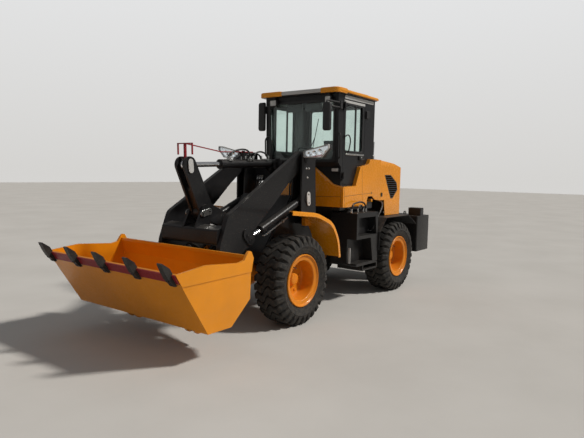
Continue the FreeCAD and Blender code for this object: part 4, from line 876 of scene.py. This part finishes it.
def headlamps():
    outer = [(556, 2012, 8), (572, 2004, 8), (826, 2004, 20), (934, 2118, 20), (928, 2170, 10), (556, 2084)]
    middle = (735, 2075)
    inner = [grown([point[:2]], middle, 0.955, 0.86)[0] + point[2:] for point in outer]
    corner = [(845, 2075, 8), (862, 2070, 8), (905, 2118, 8), (902, 2145, 8), (862, 2135, 8)]
    for name, side in SIDES:
        shell = Kit(side)
        shell.stack("front", [(x, grown(rounded(outer), middle, share))
                              for x, share in ((762, 0.86), (780, 0.96), (820, 1), (846, 1))])
        shell.done("headlamp_shell_" + name, "plastic_black", "front_body", 0, ("headlamps",) if side > 0 else ())
        rim = Kit(side)
        rim.frame("front", outer, inner, 845, 870)
        rim.done("headlamp_rim_" + name, "light_grey", "front_body", 1)
        bowls = Kit(side)
        bowls.prism("front", inner, 846, 849)
        for y, z, size in ((635, 2045, 30), (715, 2058, 34), (800, 2075, 36)):
            bowl = [(0, size), (12, size), (12, size - 3), (4, size * 0.55), (2, 8)]
            bowls.turned((848.5, y, z), AHEAD, bowl, 28)
            bowls.turned((850, y, z), AHEAD, [(0, 7), (10, 7), (13, 3)], 12)
        bowls.prism("front", corner, 849, 857)
        bowls.done("headlamp_bowls_" + name, "mirror", "front_body")
        cover = Kit(side)
        cover.prism("front", inner, 865.5, 868.5)
        cover.done("headlamp_cover_" + name, "clear", "front_body")


# Orange panels: top ledges, front fascia ridge, and dark lines of painted shade in the seams between panels

def panel_trim():
    ledge = [(-852, 2030.5), (-660, 2030.5), (-603, 1951.5), (-368, 1911.5), (-241, 1640.5), (90, 1628.5)]
    low = [(684, 1590), (600, 1604), (480, 1646), (400, 1698), (300, 1786), (235, 1850)]
    high = [(686, 1630), (610, 1647), (527, 1668), (425, 1750), (320, 1826), (240, 1883)]
    ridge = [[(94.5, *a), (104, *Vector(a).lerp(Vector(b), 0.45)), (92, *b), (86, b[0], b[1] - 6)]
             for a, b in zip(low, high)]
    kit = Kit()
    for _ in both(kit):
        kit.prism("side", strip_outline(ledge, 12), 630.5, 690.5)
        kit.skin(ridge)
        kit.box(60, 95.5, 632, 689.5, 1600, 1628.5)
    kit.done("panel_ledges", "body_orange", "rear_body", 4)
    y = 689.5
    # Dark lines along the panel seams, and a dark disc at the latch hole, are painted shade in the gaps.
    seam_shade = Kit()
    for _ in both(seam_shade):
        for line in (
                [(64, y, 1498), (-718, y, 1531)], [(-410, y, 1908), (-437, y, 1501), (-447, y, 1348)],
                [(62, y, 1347), (62, y, 1627)], [(94.5, 652, 1347), (94.5, 652, 1590)],
                [(94.5, 190, 1480), (94.5, 650, 1492)]):
            seam_shade.tube(line, 2.4, sides=6)
        seam_shade.turned((-722, y, 1531), OUT, [(-2, 14), (1.2, 14)], 20)
    seam_shade.done("panel_seam_shade", "hose", "rear_body", slot="plastic_black")
    for name, side in SIDES:
        latch = Kit(side)
        latch.prism("side", box_outline(-1075, -1030, 1470, 1530, 12), 684, 692)
        latch.turned((-1052, 691, 1500), OUT, [(0, 12), (3, 12), (4, 8)], 16)
        latch.done("hood_latch_" + name, "plastic_black", "hood", 1)


def hood_rear():
    kit = Kit()
    kit.frame("front", box_outline(-370, 370, 1290, 1760, 35), box_outline(-345, 345, 1315, 1735, 20),
              -1914, -1896)
    kit.prism("front", box_outline(-350, 350, 1310, 1740, 20), -1903, -1899)
    for k in range(1, 17):
        z = 1315 + 420 * k / 17
        kit.prism("side", [(-1913, z - 8), (-1904, z - 1), (-1900, z + 4), (-1909, z - 1)], -346, 346)
    for y in (-115, 115):
        kit.box(-1913.5, -1900, y - 6, y + 6, 1315, 1735)
    kit.loop((-1898, -70, 1225), (-1898, 70, 1225), (-32, 0, 0), 8, 15)
    for y in (-70, 70):
        kit.turned((-1897, y, 1225), BACK, [(0, 16), (6, 16), (8, 12)], 16)
    kit.done("hood_rear_grille", "plastic_black", "hood", 1)


# Front fenders: one curved sheet each, with a folded lip along the outer edge

FENDER_LINE = [(1620, 1386), (1115, 1339), (770, 1211.6), (612, 985), (572, 753)]


def fender_sheets():
    path = bent([(x, 0, z) for x, z in FENDER_LINE], 110, 8)
    outer, gauge, lip = 970, 8, 50
    back_inner, front_inner = 556, 930
    rings = []
    for i, spot in enumerate(path):
        run = run_at(path, i)
        under = Vector((-run.z, 0, run.x))
        inner = back_inner + (front_inner - back_inner) * ease(1100, 1640, spot.x)
        section = [(inner, 0), (outer - 14, 0), (outer - 4, 4), (outer, 14), (outer, lip), (outer - gauge, lip),
                   (outer - gauge, 16), (outer - 16, gauge), (inner, gauge)]
        rings.append([spot + under * down + Vector((0, y, 0)) for y, down in section])
    for name, side in SIDES:
        kit = Kit(side)
        kit.skin(rings)
        kit.prism("side", [(720, 1140, 10), (870, 1140, 10), (870, 1242), (790, 1212)], 554.5, 606)
        kit.done("fender_" + name, "body_orange", "front_body", 0, ("front_fenders",) if side > 0 else ())


# Loader arms: pin keepers, caps, bolts, cylinder pipes and hoses

def arm_fittings():
    tower, keepers, rocker, boom, caps, bucket_caps = kits = [Kit() for _ in range(6)]
    for _ in both(*kits):
        for x, z in ((792, 1867), (736, 1868), (765, 1752)):
            keepers.bolt((x, 555, z), OUT, 10)
        keepers.prism("side", capsule_outline(750, 1535, 738, 1425, 36), 563.5, 570.5)
        for x, z in ((750, 1535), (738, 1425)):
            tower.bolt((x, 570.5, z), OUT, 8)
        for x in (590, 850):
            for z in (1205, 1255):
                tower.bolt((x, 555, z), OUT, 9)
        rocker.prism("side", capsule_outline(2331, 1906, 2322, 1818, 36), 83.5, 90.5)
        caps.prism("side", capsule_outline(2078, 1352, 2176, 1330, 38), 121.5, 127.5)
        for x, z in ((2078, 1352), (2176, 1330)):
            boom.bolt((x, 127, z), OUT, 8)
        boom.turned((1810, 521.5, 1045), OUT, [(0, 40), (6, 40), (8, 34)], 28)
        boom.bolt((1810, 529, 1045), OUT, 9)
        boom.box(1845, 1885, 521.5, 529, 1070, 1110)
        boom.bolt((1865, 529, 1090), OUT, 7)
        bucket_caps.turned((2600, 548.5, 225), OUT, [(0, 46), (7, 46), (10, 38)], 28)
        bucket_caps.bolt_ring((2600, 558, 225), OUT, 28, 3, 7)
        # grease points beside the pins
        for x, z in ((2600, 318), (1770, 1118)):
            boom.turned((x, 504, z), OUT, [(-2, 6), (6, 6), (10, 3)], 8)
    tower.done("tower_bolts", "frame_black", "front_body", 0.8)
    keepers.done("tower_keepers", "light_grey", "front_body", 2)
    rocker.done("rocker_keepers", "light_grey", "rocker", 2)
    caps.done("boom_keepers", "zinc", "boom", 2)
    boom.done("boom_bolts", "frame_black", "boom", 0.8)
    bucket_caps.done("bucket_pin_caps", "frame_black", "bucket", 0.8)


# (side of the middle, line) of each hose over the tilt cylinder
TILT_HOSES = (
    (46, [(1665, 1945), (1665, 2020), (1560, 2070), (1420, 2088), (1330, 2070), (1300, 2000), (1300, 1952)]),
    (-46, [(1610, 1945), (1600, 2010), (1500, 2060), (1400, 2060), (1350, 2010), (1352, 1952)]),
    (46, [(1240, 1960), (1215, 2040), (1110, 2076), (990, 2050), (945, 1975)]),
    (-46, [(1290, 1960), (1250, 2030), (1140, 2056), (1010, 2030), (975, 1975)]),
)
BARREL_SLOPE = 0.0366


def cylinder_pipes():
    ends, hoses = Kit(), Kit()
    for y, line in TILT_HOSES:
        hoses.tube([(x, y, z) for x, z in line], 11, 50)
        for x, z in (line[0], line[-1]):
            ends.hose_end((x, y, z - 2), UP)
    for x in (960, 1270, 1325, 1640):
        crest = 1982 - (x - 800) * BARREL_SLOPE
        ends.box(x - 22, x + 22, -60, 60, crest - 10, crest + 10)
    hoses.done("tilt_hoses", "hose", "tilt_barrel", slot="plastic_black")
    ends.done("tilt_fittings", "zinc", "tilt_barrel", 0.6)
    for name, side in SIDES:
        pipe = Kit(side)
        pipe.tube([(1585, 500, 1070), (1585, 533, 1070), (1140, 533, 1258), (1120, 500, 1266)], 8, 20)
        for x, z in ((1500, 1106), (1230, 1220)):
            pipe.box(x - 12, x + 12, 515, 540.5, z - 16, z + 16)
        pipe.done("lift_pipe_" + name, "zinc", "lift_barrel_" + name, 1)
    # hoses between the towers, held by the cross member and the floor of the front frame
    bundle, clamps = Kit(), Kit()
    for k, y in enumerate((-330, -290, -250, 250, 290, 330)):
        x = 730 + 12 * (k % 3)
        bundle.tube([(705, y, 1730), (x + 5, y, 1640), (x, y, 1380), (640, y, 1200), (560, y, 1100)], 11, 100)
        clamps.hose_end((690, y, 1752), (0.55, 0, -0.83))
    for _ in both(clamps):
        clamps.box(688, 712, 235, 345, 1740, 1770)
    bundle.done("frame_hoses", "hose", "front_body", slot="plastic_black")
    clamps.done("frame_hose_ends", "zinc", "front_body", 0.6)


# Bucket: tooth bolts, seams where its plates are welded, wear strips underneath

def bucket_fittings():
    floor = Vector((540, 0, 841.5)).normalized()
    outward = Vector((floor.z, 0, -floor.x))
    lip = Vector((3489, 0, 922)) - floor * 150 - outward * 44
    lip.z = 922
    bolts = Kit()
    for tooth in range(-2, 3):
        for along, rise in ((-85, 39.5), (-35, 50.5)):
            for offset in (-14, 14):
                base = lip + floor * along + Vector((0, tooth * 479 + offset, 0))
                bolts.bolt(base + outward * rise, outward, 8.5, False)
                bolts.bolt(base - outward * 16, -outward, 8.5)
    bolts.done("tooth_bolts", "tooth_black", "bucket", 0.6)
    seams = Kit()
    inner = [(3352, 905), (2972, 331), (2672, 331), (2414, 551), (2405, 815), (2440, 950)]
    ear = [(2930, 310), (2670, 311), (2480, 468), (2420, 520)]
    for _ in both(seams):
        for y, line, radius in ((1005.5, inner, 6), (447, ear, 5), (501, ear, 5)):
            seams.tube([(x, y, z) for x, z in line], radius, 20, 8)
    for x, z in ((2972, 330), (2672, 330), (2414, 551)):
        seams.tube([(x, -1004, z), (x, 1004, z)], 5, 10, 8)
    seams.done("bucket_welds", "bucket_orange", "bucket")
    strips = Kit()
    for y in (-800, 0, 800):
        strips.prism("side", [(2950, 309), (2680, 311), (2680, 303), (2945, 300)], y - 50, y + 50)
    strips.done("bucket_wear_strips", "tooth_black", "bucket", 1)


# Tanks and steps: grip studs, caps, gauge, hoses

# (first x, how many along, first y, how many across, height)
STUD_FIELDS = ((-85, 15, 745, 4, 944), (-45, 13, 725, 4, 559), (-235, 12, 835, 1, 459))


def tank_fittings():
    for name, side in SIDES:
        studs = Kit(side)
        for x, along, y, across, z in STUD_FIELDS:
            for i in range(along):
                for j in range(across):
                    studs.turned((x - 34 * i, y + 30 * j, z), UP, [(0, 8.5), (3.5, 7)], 10)
        studs.done("step_studs_" + name, "frame_black", "rear_body")
        cap = Kit(side)
        cap.turned((-145, 640, 1268), UP, [(0, 60), (12, 60), (14, 48), (40, 46), (46, 38)], 28)
        for x in (-330, -600):
            cap.loop((x, 480, 1271), (x + 140, 480, 1271), (0, 0, 25), 7, 15, 8)
        for x in (-45, -615):
            for z in (545, 1235):
                cap.bolt((x, 855, z), OUT, 9)
        cap.done("tank_cap_" + name, "plastic_black", "rear_body", 1)
        gauge = Kit(side)
        gauge.box(-21, -11, 736, 764, 560, 780)
        for z in (575, 765):
            gauge.bolt((-12, 750, z), AHEAD, 7)
        gauge.done("tank_gauge_" + name, "light_grey", "rear_body", 2)
    hoses, ends = Kit(), Kit()
    hoses.tube([(-44, 750, 1275), (-64, 750, 1385), (-175, 750, 1407), (-276, 750, 1417), (-394, 750, 1397),
                (-450, 750, 1344), (-452, 750, 1275)], 12, 50)
    hoses.tube([(-250, 730, 1275), (-262, 730, 1335), (-330, 730, 1372), (-400, 730, 1330),
                (-405, 730, 1275)], 11, 50)
    hoses.tube([(-950, 660, 1395), (-880, 800, 1395), (-765, 845, 1315), (-669, 850, 1228), (-596, 845, 1134),
                (-585, 800, 1010), (-585, 740, 985)], 12, 70)
    for x, y in ((-44, 750), (-452, 750), (-250, 730), (-405, 730)):
        ends.hose_end((x, y, 1270), UP)
    ends.hose_end((-585, 722, 985), OUT)
    hoses.done("tank_hoses", "hose", "rear_body", slot="plastic_black")
    ends.done("tank_hose_ends", "zinc", "rear_body", 0.6)


# Counterweight with its tow pin, tail lamp glasses, exhaust clamp, fender bolts

def counterweight():
    weight = Kit()
    for _ in both(weight):
        weight.prism("plan", [(-2050, 139), (-2050, 860, 20), (-2558, 860, 30), (-2558, 139)], 520, 1120)
        weight.box(-2558, -2051, 69, 140, 920, 1119.5)
    weight.box(-2557.5, -2051, -140, 140, 520.5, 660)
    weight.box(-2400, -2051, -140, 140, 655, 925)
    weight.box(-2440, -2051, -71, 71, 920, 1119)
    for z in (700, 840):
        weight.prism("plan", [(-2390, 100), (-2390, -100), (-2568, -60, 30), (-2568, 60, 30)], z, z + 40)
    weight.done("weight_casting", "frame_black", "rear_body", 6, ("counterweight",))
    pin = Kit()
    pin.turned((-2510, 0, 665), UP, [(0, 14), (12, 20.5), (250, 20.5), (252, 34), (268, 34), (272, 26)])
    pin.tube([(-2510, -30, 930), (-2510, -34, 1000), (-2510, 34, 1000), (-2510, 30, 930)], 6, 30, 8)
    pin.done("tow_pin", "zinc", "rear_body", 1)
    bolts = Kit()
    for _ in both(bolts):
        for y in (300, 620):
            for z in (620, 1020):
                bolts.turned((-2556.5, y, z), BACK, [(-20, 26), (0.8, 26)])
                bolts.bolt((-2557.5, y, z), BACK, 13, False)
        for x in (-2140, -2440):
            bolts.loop((x - 35, 450, 1118), (x + 35, 450, 1118), (0, 0, 42), 10, 20, 10)
    bolts.done("weight_bolts", "frame_black", "rear_body", 0.8)


def rear_end():
    counterweight()
    for name, side in SIDES:
        for colour, finish, inner, outer in (("red_", "red_lens", 632, 752), ("amber_", "amber", 760, 836)):
            glass = Kit(side)
            glass.prism("front", box_outline(inner, outer, 1140, 1232, 10), -2336, -2330.5)
            glass.done("tail_glass_" + colour + name, finish, "rear_body", 2)
    pipe = Kit()
    pipe.turned((-940, 560, 2078), UP, [(0, 31), (4, 34), (20, 34), (24, 31)], 28)
    pipe.bolt((-902, 560, 2090), AHEAD, 6, False)
    pipe.turned((-940, 560, 2029), UP, [(0, 56), (8, 56), (10, 50)], 28)
    pipe.done("exhaust_clamp", "zinc", "rear_body", 0.6)
    guards = Kit()
    for _ in both(guards):
        for x, z in ((830, 1233.8), (905, 1261.5)):
            guards.bolt((x, 580, z), (-0.37, 0, 0.93), 8)
    guards.done("fender_bolts", "zinc", "front_body", 0.6)


for build in (
        wheel_fittings, cab_roof, work_lamps, mirrors, cab_trim, seat, cab_inside, headlamps, fender_sheets,
        panel_trim, hood_rear, arm_fittings, cylinder_pipes, bucket_fittings, tank_fittings, rear_end):
    build()


# The floor under the machine, in metres

FLOOR = 60


def stage_floor():
    f = Finish("floor", Roughness=0.9, Specular_IOR_Level=0.2)
    f.link(f.mix(f.patches(0.7, 0.35, 0.65, 5), (0.49, 0.472, 0.445, 1), (0.53, 0.512, 0.485, 1)), "Base Color")
    f.bump(f.noise(140, 3), 0.08, 0.001)
    data = bpy.data.meshes.new("floor")
    corners = [(-FLOOR, -FLOOR, 0), (FLOOR, -FLOOR, 0), (FLOOR, FLOOR, 0), (-FLOOR, FLOOR, 0)]
    data.from_pydata(corners, [], [(0, 1, 2, 3)])
    data.materials.append(f.material)
    floor = link_object("floor", data)


stage_floor()
